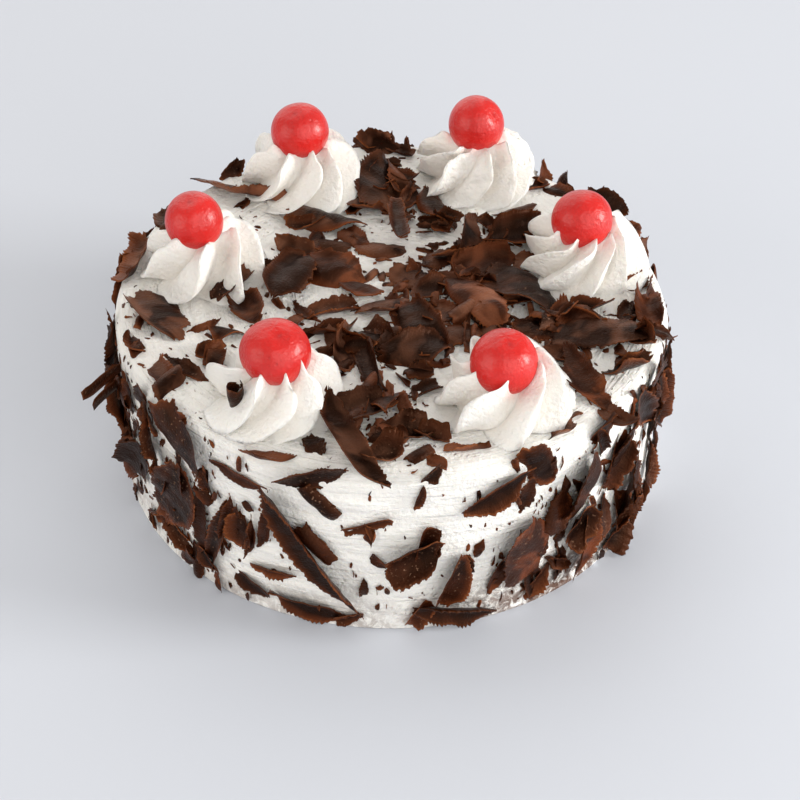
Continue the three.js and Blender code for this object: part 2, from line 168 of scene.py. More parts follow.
def placeGrain(tree, at, vector, mottle, grain, pits):
    node = addNode(tree, "ShaderNodeGroup", at, node_tree=softGrain)
    tree.links.new(vector, node.inputs["Vector"])
    for label, value in (("Mottle Scale", mottle), ("Grain Scale", grain), ("Pits", pits)):
        node.inputs[label].default_value = value
    return node


def softGrainGroup():
    # fine unevenness: broad mottling, close grain and scattered pits, as a tint and a height
    numbersIn = {"Mottle Scale": 60, "Grain Scale": 900, "Pits": 0.5}
    group, start, end = newGroup("softGrain", numbersIn, ["Tint", "Height"])
    vector = start.outputs["Vector"]
    mottle = addNode(group, "ShaderNodeTexNoise", (-600, 200))
    grain = addNode(group, "ShaderNodeTexNoise", (-600, -50))
    pits = addNode(group, "ShaderNodeTexVoronoi", (-600, -300))
    for node in (mottle, grain, pits):
        group.links.new(vector, node.inputs["Vector"])
    group.links.new(start.outputs["Mottle Scale"], mottle.inputs["Scale"])
    group.links.new(start.outputs["Grain Scale"], grain.inputs["Scale"])
    mottle.inputs["Detail"].default_value = 4
    grain.inputs["Detail"].default_value = 3
    pits.inputs["Scale"].default_value = 420
    hollow = rangeNode(group, (-350, -300), pits.outputs[0], 0.0, 0.28, 1.0, 0.0)
    rare = rangeNode(group, (-350, -520), mottle.outputs[0], 0.5, 0.66)
    hollow = mathNode(group, (-150, -300), "MULTIPLY", hollow, rare)
    hollow = mathNode(group, (50, -300), "MULTIPLY", hollow, start.outputs["Pits"])
    height = mathNode(group, (250, -100), "SUBTRACT", grain.outputs[0], hollow)
    group.links.new(mottle.outputs[0], end.inputs["Tint"])
    group.links.new(height, end.inputs["Height"])
    return group


softGrain = softGrainGroup()


def startMaterial(name):
    material = bpy.data.materials.new(name)
    material.use_nodes = True
    tree = material.node_tree
    tree.nodes.clear()
    output = addNode(tree, "ShaderNodeOutputMaterial", (900, 0))
    shader = addNode(tree, "ShaderNodeBsdfPrincipled", (600, 0))
    tree.links.new(shader.outputs[0], output.inputs[0])
    where = addNode(tree, "ShaderNodeTexCoord", (-1100, 0)).outputs["Object"]
    return material, tree, shader, where


def softened(shader, look):
    # light goes a little way into cream and fruit
    shader.inputs["Subsurface Weight"].default_value = look["softness"]
    shader.inputs["Subsurface Radius"].default_value = look["softRadius"]
    shader.inputs["Subsurface Scale"].default_value = look["softScale"]


def bumpInto(tree, shader, height, distance):
    bump = addNode(tree, "ShaderNodeBump", (380, -300))
    bump.inputs["Strength"].default_value = 1.0
    bump.inputs["Distance"].default_value = distance
    tree.links.new(height, bump.inputs["Height"])
    tree.links.new(bump.outputs[0], shader.inputs["Normal"])


creamLook = {
    "white": (0.92, 0.906, 0.87),
    "shade": (0.86, 0.84, 0.8),
    # painted shade: darker, warmer cream laid in the grooves between a rosette's ridges
    "paintedCreaseShade": (0.72, 0.66, 0.585),
    "stain": (0.86, 0.36, 0.33),
    "cocoa": (0.12, 0.055, 0.032),
    "roughness": (0.42, 0.6),
    "softness": 0.16,
    "softRadius": (1.0, 0.8, 0.6),
    "softScale": 0.0016,
    "grainDepth": 0.0007,
}


def creamMaterial(name, streaks, stretchBy, pits):
    # streaks: how strongly the lines of the knife or the nozzle show; stretchBy: how close they lie
    material, tree, shader, where = startMaterial(name)
    grain = placeGrain(tree, (-700, 0), where, mottle=45, grain=700, pits=pits)
    colour = mixColours(tree, (-200, 200), grain.outputs["Tint"], creamLook["shade"], creamLook["white"])
    marksAndShade = attributeNode(tree, (-700, 400), "creamMarksAndShade")
    parts = addNode(tree, "ShaderNodeSeparateColor", (-500, 400))
    tree.links.new(marksAndShade.outputs["Color"], parts.inputs[0])
    colour = mixColours(tree, (0, 250), parts.outputs[0], colour, creamLook["stain"])
    smeared = noiseNode(tree, (-700, 650), where, 300, 5, 0.7, 0.8)
    cocoa = rangeNode(tree, (-450, 650), smeared, 0.42, 0.56)
    cocoa = mathNode(tree, (-350, 650), "MULTIPLY", cocoa, parts.outputs[1])
    cocoa = mathNode(tree, (-250, 650), "POWER", cocoa, 0.6)
    colour = mixColours(tree, (200, 250), cocoa, colour, creamLook["cocoa"])
    # painted shade in the rosettes' grooves, from the third channel of the marks and shade attribute
    colour = mixColours(tree, (350, 350), parts.outputs[2], colour, creamLook["paintedCreaseShade"])
    tree.links.new(colour, shader.inputs["Base Color"])
    rough = rangeNode(tree, (-200, -100), grain.outputs["Tint"], 0.3, 0.7, *creamLook["roughness"])
    tree.links.new(rough, shader.inputs["Roughness"])
    softened(shader, creamLook)
    height = grain.outputs["Height"]
    along = attributeNode(tree, (-1100, -500), "grainAt").outputs["Vector"]
    stretch = addNode(tree, "ShaderNodeMapping", (-900, -500))
    stretch.inputs["Scale"].default_value = stretchBy
    tree.links.new(along, stretch.inputs["Vector"])
    lines = noiseNode(tree, (-700, -500), stretch.outputs[0], 1.0, 5, 0.6, 0.4)
    lines = mathNode(tree, (-450, -500), "MULTIPLY", lines, streaks)
    height = mathNode(tree, (-200, -400), "ADD", height, lines)
    bumpInto(tree, shader, height, creamLook["grainDepth"])
    return material


chocolateLook = {
    "dark": (0.0042, 0.001, 0.0005),
    "brown": (0.037, 0.0094, 0.0039),
    "russet": (0.155, 0.037, 0.0115),
    "glowWidth": 2.6,  # millimetres of thin rim that the light shines through
    "glow": 0.8,
    # painted sheen: a dull tan light laid into the colour of the shavings on the top
    "paintedSheen": (0.235, 0.1, 0.058),
    "bloom": (0.17, 0.095, 0.06),
    # the lighter thin rim is partly the colour of thin chocolate and partly painted light shining through it
    "edge": (0.25, 0.075, 0.023),
    "edgeWidth": 0.6,  # millimetres
    "roughness": (0.3, 0.48),
    "shine": 0.25,
    "shineTint": (1.0, 0.46, 0.27, 1.0),
    "grainDepth": 0.00026,
}


def chocolateMaterial():
    material, tree, shader, where = startMaterial("darkChocolate")
    along = attributeNode(tree, (-1300, 0), "grainAt").outputs["Vector"]
    tonesAndSheen = attributeNode(tree, (-1300, 300), "shavingToneAndSheen")
    parts = addNode(tree, "ShaderNodeSeparateColor", (-1100, 300))
    tree.links.new(tonesAndSheen.outputs["Color"], parts.inputs[0])
    tone, thinness, bloom = parts.outputs[0], parts.outputs[1], parts.outputs[2]
    fromEdge = attributeNode(tree, (-1300, 600), "fromEdge").outputs["Fac"]
    stretch = addNode(tree, "ShaderNodeMapping", (-1100, -100))
    stretch.inputs["Scale"].default_value = (300, 80, 200)  # the blade leaves ripples across the shaving
    tree.links.new(along, stretch.inputs["Vector"])
    ripples = noiseNode(tree, (-850, -100), stretch.outputs[0], 1.0, 4, 0.6, 0.6)
    clouds = noiseNode(tree, (-850, 60), along, 85, 2, 0.5, 0.8)
    grain = placeGrain(tree, (-850, -400), where, mottle=130, grain=1500, pits=0.8)
    cloudy = rangeNode(tree, (-650, 60), clouds, 0.32, 0.68, -0.3, 0.42)
    patchy = mathNode(tree, (-500, 150), "ADD", mathNode(tree, (-650, 200), "ADD", tone, cloudy),
                      mathNode(tree, (-650, -60), "MULTIPLY", ripples, 0.25))
    colour = mixColours(tree, (-250, 200), rangeNode(tree, (-400, 150), patchy, 0.5, 1.25),
                        chocolateLook["dark"], chocolateLook["brown"])
    colour = mixColours(tree, (-120, 320), rangeNode(tree, (-400, 320), patchy, 1.1, 1.45),
                        colour, chocolateLook["russet"])
    # painted sheen: the window's light on the upward-facing shavings of the top, mixed into their colour
    paintedSheen = rangeNode(tree, (-500, -250), clouds, 0.43, 0.66)
    paintedSheen = mathNode(tree, (-300, -250), "MULTIPLY", tonesAndSheen.outputs["Alpha"], paintedSheen)
    colour = mixColours(tree, (-60, 380), paintedSheen, colour, chocolateLook["paintedSheen"])
    flecks = rangeNode(tree, (-650, 560), noiseNode(tree, (-850, 560), where, 1100, 1, 0.5), 0.66, 0.74)
    dusty = mathNode(tree, (-450, 480), "MULTIPLY", bloom, flecks)
    colour = mixColours(tree, (0, 250), dusty, colour, chocolateLook["bloom"])
    glowWidth, glow = chocolateLook["glowWidth"], chocolateLook["glow"]
    glow = rangeNode(tree, (-600, 1050), fromEdge, 0.0, glowWidth, glow, 0.0)
    thinnest = mathNode(tree, (-600, 1200), "POWER", thinness, 1.4)
    glow = mathNode(tree, (-400, 1050), "MULTIPLY", glow, thinnest)
    colour = mixColours(tree, (100, 450), glow, colour, chocolateLook["russet"])
    # lighter band along thin edges: partly thin chocolate's own colour, partly painted light shining through
    # the rim
    band = rangeNode(tree, (-600, 700), fromEdge, 0.0, chocolateLook["edgeWidth"], 1.0, 0.0)
    broken = rangeNode(tree, (-600, 900), clouds, 0.4, 0.62, 0.1, 1.0)
    band = mathNode(tree, (-400, 800), "MULTIPLY", band, broken)
    thin = mathNode(tree, (-200, 700), "MULTIPLY", band, thinness)
    colour = mixColours(tree, (250, 250), thin, colour, chocolateLook["edge"])
    tree.links.new(colour, shader.inputs["Base Color"])
    rough = rangeNode(tree, (0, -50), ripples, 0.3, 0.7, *chocolateLook["roughness"])
    tree.links.new(rough, shader.inputs["Roughness"])
    shader.inputs["Specular IOR Level"].default_value = chocolateLook["shine"]
    shader.inputs["Specular Tint"].default_value = chocolateLook["shineTint"]
    height = mathNode(tree, (0, -300), "ADD", grain.outputs["Height"],
                      mathNode(tree, (-200, -300), "MULTIPLY", ripples, 2.0))
    bumpInto(tree, shader, height, chocolateLook["grainDepth"])
    return material


cherryLook = {
    "red": (0.64, 0.012, 0.009),
    "redder": (0.52, 0.008, 0.006),
    "deep": (0.4, 0.004, 0.005),
    "roughness": (0.32, 0.44),
    "shine": 0.4,
    "glaze": 0.28,
    "glazeRoughness": 0.2,
    "softness": 0.15,
    "softRadius": (1.0, 0.12, 0.1),
    "softScale": 0.003,
    "grainDepth": 0.0004,
}


def cherryMaterial():
    material, tree, shader, where = startMaterial("glazedCherry")
    grain = placeGrain(tree, (-700, 0), where, mottle=110, grain=800, pits=0.8)
    dimple = attributeNode(tree, (-700, 300), "stalkMark").outputs["Fac"]
    tint = rangeNode(tree, (-450, 100), grain.outputs["Tint"], 0.3, 0.7)
    colour = mixColours(tree, (-200, 150), tint, cherryLook["red"], cherryLook["redder"])
    colour = mixColours(tree, (50, 200), dimple, colour, cherryLook["deep"])
    tree.links.new(colour, shader.inputs["Base Color"])
    rough = rangeNode(tree, (0, -50), grain.outputs["Tint"], 0.3, 0.7, *cherryLook["roughness"])
    tree.links.new(rough, shader.inputs["Roughness"])
    softened(shader, cherryLook)
    shader.inputs["Coat Weight"].default_value = cherryLook["glaze"]
    shader.inputs["Coat Roughness"].default_value = cherryLook["glazeRoughness"]
    shader.inputs["Specular IOR Level"].default_value = cherryLook["shine"]
    bumpInto(tree, shader, grain.outputs["Height"], cherryLook["grainDepth"])
    return material


icingCream = creamMaterial("spreadCream", streaks=1.9, stretchBy=(26, 26, 420), pits=1.3)
pipedCream = creamMaterial("pipedCream", streaks=0.6, stretchBy=(420, 420, 24), pits=0.4)
darkChocolate = chocolateMaterial()
glazedCherry = cherryMaterial()
print("materials made")


# Iced cake: knife marks as in the solid, with the knife's smears and lips on top of them

cake = {
    "radius": 90.0,
    "height": 65.0,
    "edge": 6.0,
    "foot": 1.5,
    "knifeDent": 0.9,
    "gap": 0.35,
    "step": 1.05,
}


def wallMarks(angle, z):
    return 0.5 + 0.32 * sin(7 * angle + 0.9 + z / 13) + 0.18 * sin(12 * angle - z / 9)


def topMarks(x, y):
    return 0.5 + 0.3 * sin(x / 13 + y / 19 + 0.6) + 0.2 * sin(x / 21 - y / 11)


def outsideCake(p):
    # how far a point lies outside the cream; below 0 inside it
    inner = cake["radius"] - cake["edge"]
    lower = cake["height"] - cake["edge"]
    r = hypot(p.x, p.y) + cake["knifeDent"] * wallMarks(atan2(p.y, p.x), p.z) - inner
    z = p.z + cake["knifeDent"] * topMarks(p.x, p.y) - lower
    return hypot(max(r, 0), max(z, 0)) + min(max(r, z), 0) - cake["edge"]


def surfaceHeight(r):
    over = clamp(r - (cake["radius"] - cake["edge"]), 0, cake["edge"] * 0.9)
    return cake["height"] - cake["edge"] + sqrt(cake["edge"] ** 2 - over ** 2)


smears = {"depth": 0.62, "lip": 0.75, "lipEvery": 17.0, "topLip": 0.6, "topEvery": 15.0}
# height of the smear at the foot, which is messiest at the right of the front
footCocoa = {"from": 3, "to": 14, "messyAt": 308, "messyWidth": 24, "messyRise": 16}


def lipAt(phase):
    # a thin raised line where one stroke of the knife ends on the next
    t = phase - floor(phase)
    return smooth(0.72, 0.97, t) * (1 - smooth(0.97, 1.0, t))


def wallSmear(angle, z):
    arc = angle * cake["radius"]
    x, y = 40 * cos(angle), 40 * sin(angle)
    slow = hillsAt(x, y, z * 0.5, 26, 3.1)
    fine = hillsAt(x * 0.9, y * 0.9, z * 2.6, 11, 8.4)
    lip = lipAt(z / smears["lipEvery"] + 2.6 * slow + 0.0035 * arc)
    lip *= smooth(0.05, 0.4, hillsAt(x, y, z, 14, 5.5))
    lip *= smooth(cake["height"] - 7, cake["height"] - 12, z)
    return smears["depth"] * (0.8 * slow + 0.7 * fine) + smears["lip"] * lip


def topSmear(x, y):
    slow = hillsAt(x, y, 0, 30, 1.7)
    across = 0.75 * x + 0.66 * y + 16 * slow
    fine = hillsAt(across * 2.3, (x - y) * 0.35, 0, 12, 4.2)
    lip = lipAt(across / smears["topEvery"]) * smooth(-0.1, 0.3, hillsAt(x, y, 5, 21, 9.1))
    return smears["depth"] * (0.7 * slow + 0.7 * fine) + smears["topLip"] * lip


def creamProfile():
    # radius and height from the middle of the underside, out, up the wall and in over the top
    radius, height, edge, foot = cake["radius"], cake["height"], cake["edge"], cake["foot"]
    points = [(0.0, 0.0), (radius * 0.5, 0.0), (radius - foot, 0.0)]
    points += [(radius - foot * (1 - sin(radians(a))), foot * (1 - cos(radians(a)))) for a in (30, 60)]
    rise = height - edge - foot
    rows = ceil(rise / cake["step"])
    points += [(radius, foot + rise * k / rows) for k in range(rows)]
    bends = ceil(edge * pi / 2 / cake["step"]) + 2
    points += [(radius - edge * (1 - cos(pi / 2 * k / bends)), height - edge * (1 - sin(pi / 2 * k / bends)))
               for k in range(bends)]
    rings = ceil((radius - edge) / cake["step"])
    points += [((radius - edge) * (1 - k / rings), height) for k in range(rings + 1)]
    return points


def setFloatVector(shape, name):
    return shape.verts.layers.float_vector.get(name) or shape.verts.layers.float_vector.new(name)


def setColour(shape, name):
    return shape.verts.layers.float_color.get(name) or shape.verts.layers.float_color.new(name)


def icedCake():
    shape = bmesh.new()
    verts = [shape.verts.new((r, 0, z)) for r, z in creamProfile()]
    edges = [shape.edges.new(pair) for pair in zip(verts, verts[1:])]
    turns = ceil(2 * pi * cake["radius"] / cake["step"])
    bmesh.ops.spin(shape, geom=verts + edges, cent=(0, 0, 0), axis=(0, 0, 1), angle=2 * pi, steps=turns,
                   use_merge=True, use_duplicate=False)
    bmesh.ops.remove_doubles(shape, verts=shape.verts, dist=0.001)
    bmesh.ops.recalc_face_normals(shape, faces=shape.faces)
    grainAt = setFloatVector(shape, "grainAt")
    creamMarksAndShade = setColour(shape, "creamMarksAndShade")
    for vert in shape.verts:
        p = vert.co
        r, angle = hypot(p.x, p.y), atan2(p.y, p.x)
        onTop = smooth(cake["height"] - cake["edge"], cake["height"] - 0.3, p.z)
        raised = smooth(cake["foot"] * 0.5, cake["foot"] * 2, p.z)
        upTo = smooth(cake["height"] - 2 * cake["edge"], cake["height"] - 0.3, p.z)
        wallPart = (1 - onTop ** 2) * raised
        around = wallSmear(angle, p.z) - cake["knifeDent"] * wallMarks(angle, p.z)
        around += 0.6 * upTo * hillsAt(p.x, p.y, 0, 12, 7.7)
        above = topSmear(p.x, p.y) - cake["knifeDent"] * topMarks(p.x, p.y)
        messy = exp(-((degrees(angle) % 360 - footCocoa["messyAt"]) / footCocoa["messyWidth"]) ** 2)
        cocoa = smooth(footCocoa["to"] + footCocoa["messyRise"] * messy, footCocoa["from"], p.z)
        cocoa *= smooth(-0.5 - 1.5 * messy, 0.5, hillsAt(p.x, p.y, p.z, 16, 2.2))
        vert[grainAt] = (p.x * mm, p.y * mm, (p.z + cake["radius"] - r) * mm)
        vert[creamMarksAndShade] = (0, cocoa * (0.35 + 0.65 * messy), 0, 1)
        if r > 1e-3:
            push = wallPart * around / r
            p.x += p.x * push
            p.y += p.y * push
        if onTop:
            p.z += onTop * above
    return pieceFrom(shape, "icedCream", icingCream)


icedCream = icedCake()
print("iced cake made")


# Piped rosettes

rosettes = [
    {"at": (-31.8, 60.0), "turn": 10, "ridges": 8, "size": 0.98, "seed": 4},
    {"at": (29.1, 64.5), "turn": 32, "ridges": 9, "size": 0.98, "seed": 9, "rough": 3.0},
    {"at": (-61.0, 8.2), "turn": 55, "ridges": 7, "size": 0.97, "seed": 15},
    {"at": (62.2, 12.0), "turn": 20, "ridges": 9, "size": 0.94, "seed": 21},
    {"at": (-35.0, -57.2), "turn": 5, "ridges": 8, "size": 0.98, "seed": 33},
    {"at": (33.9, -56.5), "turn": 38, "ridges": 8, "size": 0.97, "seed": 41},
]
piping = {
    "radius": 22.6,
    "height": 16.4,
    "twist": -68.0,
    "peak": 0.6,  # where the crest stands between one groove and the next
    "wander": 0.22,  # how far a crest sways on the way down
    "underside": 1 / 7,  # share of the rows, at the top of the sphere and at its foot, that close it
    "ridgeRun": [(0.26, 1.0), (0.52, 1.0), (0.74, 0.93), (0.91, 0.6), (1.0, 0.16), (0.97, 0.0)],
    "grooveRun": [(0.26, 0.95), (0.4, 0.7), (0.49, 0.5), (0.57, 0.27), (0.64, 0.07), (0.63, 0.0)],
    "samples": 20,
    "rings": 72,
}
# the least of each measure, and how much more a draw adds, for every ridge of a rosette
ridgeDraws = {
    "reach": (0.9, 0.14),  # how far out it stands
    "lift": (-0.05, 0.1),  # how much higher than the others
    "bulge": (0.0, 1.0),
    "peak": (0.6, 3.4),  # millimetres of cream drawn up at the inner end of its crest
    "lean": (-0.11, 0.484),  # how far its crest folds over towards its neighbour, in ridge widths
    "start": (-0.45, 0.9),  # how unevenly the grooves begin
}


def curveThrough(run, s):
    # a smooth curve through the points of a run, from 0 to 1
    t = clamp(s) * (len(run) - 1)
    k = min(int(t), len(run) - 2)
    t -= k
    before, a, b, after = (run[clamp(i, 0, len(run) - 1)] for i in (k - 1, k, k + 1, k + 2))
    both = []
    for p, q, r, v in zip(before, a, b, after):
        bend = (2 * p - 5 * q + 4 * r - v) * t * t + (3 * q - p - 3 * r + v) * t ** 3
        both.append(0.5 * (2 * q + (r - p) * t + bend))
    return both


def ridgeWave(phase):
    # 0 in a groove and 1 on the sharp crest, with a broad hollow face and a steep one
    t = phase - floor(phase)
    peak = piping["peak"]
    return (t / peak) ** 1.3 if t < peak else ((1 - t) / (1 - peak)) ** 0.9


def rosettePiece(k):
    rosette, cherry = rosettes[k], cherries[k]
    ridges = rosette["ridges"]
    draw = drawsFrom(rosette["turn"] * 97 + 11)
    reach, lifts, bulges, peaks, leans, starts = (
        [least + more * draw() for _ in range(ridges)] for least, more in ridgeDraws.values())
    shape = bmesh.new()
    around = ridges * piping["samples"]
    bmesh.ops.create_uvsphere(shape, u_segments=around, v_segments=piping["rings"], radius=1)
    creamMarksAndShade, grainAt = setColour(shape, "creamMarksAndShade"), setFloatVector(shape, "grainAt")
    radius = piping["radius"] * rosette["size"]
    x0, y0 = rosette["at"]
    seed = rosette["seed"] * 1.37
    roughBy = rosette.get("rough", 1)
    cherryAt = Vector((x0 + cherry["shift"][0], y0 + cherry["shift"][1], cake["height"] + cherry["rise"]))
    for vert in shape.verts:
        polar = acos(clamp(vert.co.z, -1, 1)) / pi
        bearing = atan2(vert.co.y, vert.co.x)
        s = clamp((polar - piping["underside"]) / (1 - 2 * piping["underside"]))
        if polar > 0.995:
            vert.co = (x0, y0, surfaceHeight(hypot(x0, y0)) + cake["gap"])
            continue
        ridgesOn = (bearing / (2 * pi) + 1) * ridges
        own = int(floor(ridgesOn + 0.02)) % ridges
        after = (own + 1) % ridges
        t = ridgesOn - floor(ridgesOn)
        warp = mix(starts[own], starts[after], t) * smooth(0, 0.2, s)
        warp += 0.2 * hillsAt(3 * cos(bearing), 3 * sin(bearing), 3 * s, 2.2, seed)
        t = clamp(t + warp * sin(pi * t), 0.0, 0.9999)
        wave = ridgeWave(t)
        ridge = curveThrough(piping["ridgeRun"], s)
        groove = curveThrough(piping["grooveRun"], s)
        out = radius * mix(groove[0], ridge[0] * reach[own], wave)
        up = piping["height"] * mix(groove[1], ridge[1] * (1 + lifts[own] * smooth(0, 0.3, s)), wave)
        if polar < piping["underside"]:
            out *= polar / piping["underside"]
        inside = smooth(0.02, 0.12, s)
        turned = radians(piping["twist"]) * s ** 1.3 + radians(rosette["turn"])
        turned += inside * leans[own] * wave ** 1.5 * 2 * pi / ridges * sin(pi * clamp(s * 1.1))
        turned += piping["wander"] * sin(2 * pi * s + bulges[own] * 5) * wave * inside
        angle = bearing + turned
        x, y = out * cos(angle), out * sin(angle)
        rough = hillsAt(x, y, up, 10, seed) * 0.7 + hillsAt(x, y, up, 4.5, seed + 3) * 0.3
        out += inside * rough * roughBy + 0.8 * bulges[own] * sin(pi * s) * wave
        out += 1.1 * wave ** 3 * smooth(0.72, 0.97, s) * bulges[own]
        up += peaks[own] * wave ** 3 * exp(-(((s - 0.19) / 0.07) ** 2))
        up += 0.5 * roughBy * inside * hillsAt(x, y, up, 6, seed + 9) * (1 - smooth(0.75, 0.95, s))
        x, y = x0 + out * cos(angle), y0 + out * sin(angle)
        ground = surfaceHeight(hypot(x, y)) + cake["gap"] * (1 - smooth(0.9, 1.0, s))
        vert.co = (x, y, ground + up - 0.3 * smooth(0.95, 1.0, s))
        near = (vert.co - cherryAt).length
        stain = smooth(13.0, 10.4, near) * smooth(-0.3, 0.5, hillsAt(x, y, vert.co.z, 7, seed + 6))
        # painted shade: the deeper the groove between two ridges, the darker its colour
        paintedCreaseShade = (1 - wave) ** 3 * inside * (1 - 0.6 * smooth(0.8, 1.0, s))
        vert[creamMarksAndShade] = (0.35 * stain, 0, 0.5 * paintedCreaseShade, 1)
        vert[grainAt] = (22 * cos(bearing) * mm, 22 * sin(bearing) * mm, (s * 26 + seed) * mm)
    bmesh.ops.recalc_face_normals(shape, faces=shape.faces)
    piece = pieceFrom(shape, f"pipedRosette{k + 1}", pipedCream)
    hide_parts(f"rosette_{k + 1}")


# Glazed cherries

cherryShape = {
    "radius": 10.0,
    "dimple": 0.07,  # depth of the stalk's hollow, as a share of the radius
    "pucker": 0.006,
    "lumps": 0.022,
    "segments": 72,
}
cherries = [
    {"size": (1.0, 0.98, 0.98), "shift": (-0.1, 1.8), "rise": 21, "dimple": (-28, 20)},
    {"size": (0.96, 0.95, 1.02), "shift": (-0.3, 3), "rise": 21, "dimple": (60, 50)},
    {"size": (0.94, 0.95, 0.99), "shift": (-2.6, 0.8), "rise": 19.5, "dimple": (-25, 15)},
    {"size": (0.99, 0.97, 0.99), "shift": (-0.6, 1), "rise": 19, "dimple": (170, 65)},
    {"size": (1.07, 1.04, 1.0), "shift": (1, 0.6), "rise": 18.5, "dimple": (25, 22)},
    {"size": (1.02, 1.0, 1.0), "shift": (-0.3, -1.8), "rise": 17, "dimple": (25, 18)},
]


def cherryPiece(k):
    cherry = cherries[k]
    shape = bmesh.new()
    segments = cherryShape["segments"]
    bmesh.ops.create_uvsphere(shape, u_segments=segments, v_segments=segments // 2 + 8, radius=1)
    stalkMark = shape.verts.layers.float.new("stalkMark")
    heading, tilt = (radians(angle) for angle in cherry["dimple"])
    stalk = Matrix.Rotation(heading, 3, "Z") @ Matrix.Rotation(tilt, 3, "X") @ Vector((0, 0, 1))
    for vert in shape.verts:
        away = vert.co.angle(stalk)
        dent = exp(-((away / 0.32) ** 2))
        pucker = cherryShape["pucker"] * sin(5 * atan2(vert.co.y, vert.co.x) + k)
        pucker *= exp(-((away - 0.35) / 0.25) ** 2)
        lumps = cherryShape["lumps"] * hillsAt(*(10 * c for c in vert.co), 9, k + 2.3)
        pull = 1 - cherryShape["dimple"] * dent + lumps + pucker
        vert[stalkMark] = exp(-((away / 0.1) ** 2)) * 0.8
        vert.co = Vector([c * s for c, s in zip(vert.co * cherryShape["radius"] * pull, cherry["size"])])
    x, y = (at + shift for at, shift in zip(rosettes[k]["at"], cherry["shift"]))
    bmesh.ops.translate(shape, vec=(x, y, cake["height"] + cherry["rise"]), verts=shape.verts)
    bmesh.ops.recalc_face_normals(shape, faces=shape.faces)
    piece = pieceFrom(shape, f"glazedCherry{k + 1}", glazedCherry)
    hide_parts(f"cherry_{k + 1}")


for k in range(len(rosettes)):
    rosettePiece(k)
    cherryPiece(k)
print("rosettes and cherries made")


# Chocolate shavings
# ends: width at the two ends against the middle; slant: how obliquely the ends are broken;
# lop: 1 keeps one long side straight; arch: bend along the length in degrees

kinds = {
    "blade": {"ends": (0.3, 0.12), "slant": 0.3, "lop": 0.8, "arch": 14},
    "shard": {"ends": (0.72, 0.42), "slant": 0.28, "lop": 0.35, "arch": 12},
    "leaf": {"ends": (0.4, 0.1), "slant": 0, "lop": 0, "arch": 22},
    "strip": {"ends": (0.9, 0.78), "slant": 0.16, "lop": 0.1, "arch": 8},
    "roll": {"ends": (0.95, 0.85), "slant": 0.1, "lop": 0, "arch": 4},
}
shavingSize = {"solidThickness": 1.0, "thickness": 0.5, "pressedIn": 0.8, "aboveTable": 0.2,
               "largeArea": 230, "smallOnTop": 9, "smallOnWall": 20}


def flake(kind, at, turn, size, curl, **more):
    # On the top, at is x and y; on the wall it is the angle round the cake and the height. turn is the
    # heading, size the length and width, and curl the bend across the width (over 0 opens outwards).
    # More: lean tips one long side up, tip raises one end, rise lifts it onto its neighbours, tone is
    # from 0 dark to 1 brown, and a clean one has smooth edges.
    return {"kind": kind, "at": at, "turn": turn, "size": size, "curl": curl, **more}


# From the lowest to the uppermost
onTop = [
    flake("shard", (-75, -17), -62, (26, 17), -30, lean=-4),
    flake("blade", (-63, -43), -40, (20, 5.5), 70, lean=10),
    flake("roll", (-51, -4), 55, (17, 8), 150, rise=4),
    flake("shard", (-45, -13), -72, (18, 11), 35, lean=24),
    flake("blade", (-52, 51), -22, (42, 12), -60, lean=-12),
    flake("shard", (-22, 37), -14, (27, 14), -110, lean=-6, tone=0.35),
    flake("blade", (-32, 21), -25, (15, 8), 50, lean=8),
    flake("shard", (-39, 7), -10, (15, 10), -40),
    flake("shard", (-4, 55), 65, (24, 20), -70, lean=18),
    flake("blade", (-1, 21), 2, (22, 9), -80),
    flake("shard", (41, 29), 28, (22, 13), 45, lean=16),
    flake("shard", (42, -2), -48, (27, 21), -55, lean=-6, tone=0.4),
    flake("shard", (30, 9), 12, (22, 15), -45, tip=6),
    flake("shard", (16, -13), -30, (15, 11), -50),
    flake("shard", (9, -22), -62, (23, 15), -75, lean=6),
    flake("shard", (-3, -12), 8, (16, 12), -90, rise=1),
    flake("shard", (-15, -35), 82, (18, 10), 45, lean=22),
    flake("shard", (8, -34), 10, (22, 14), -50, lean=10),
    flake("blade", (-6, -44), -72, (26, 8), 80, lean=20, rise=1.5),
    flake("shard", (-9, -63), 22, (21, 12), 30, lean=-10),
    flake("shard", (4, -71), -8, (19, 10), 60, lean=8),
    flake("blade", (-12, -79), -60, (37, 10.5), 75, tip=-17, rise=0.6, tone=0.3),
    flake("shard", (47, -20), -16, (17, 12), -35),
    flake("strip", (27, -8), -55, (30, 14), -85, lean=8, rise=2.5, tone=1.05),
    flake("strip", (66, -25), -5, (30, 15), -60, lean=8),
    flake("blade", (59, -49), -64, (35, 11), 45, tip=-6),
    flake("shard", (74, -39), 32, (19, 12), 35, lean=-14),
    flake("shard", (-19, 7), -22, (20, 16), -75, rise=1),
    flake("leaf", (-33, 2), 68, (25, 15), -80, lean=-14, rise=1),
    flake("blade", (15, 44), -62, (25, 10), -80, lean=-10),
    flake("strip", (2, 30), -84, (28, 7), 60, rise=3.5, tip=-5),
    flake("leaf", (25, 24), 72, (24, 11), 45, lean=50, rise=1),
    flake("blade", (42, 44), 10, (17, 8), -50),
    flake("strip", (-6, 85), -20, (17, 8.5), 60, lean=40),
    flake("shard", (74, 46), -55, (17, 11), 30, lean=50),
    flake("strip", (-83, 14), 82, (24, 9), 40, lean=-52),
    flake("strip", (84, -10), -80, (18, 9), 70, lean=24),
]
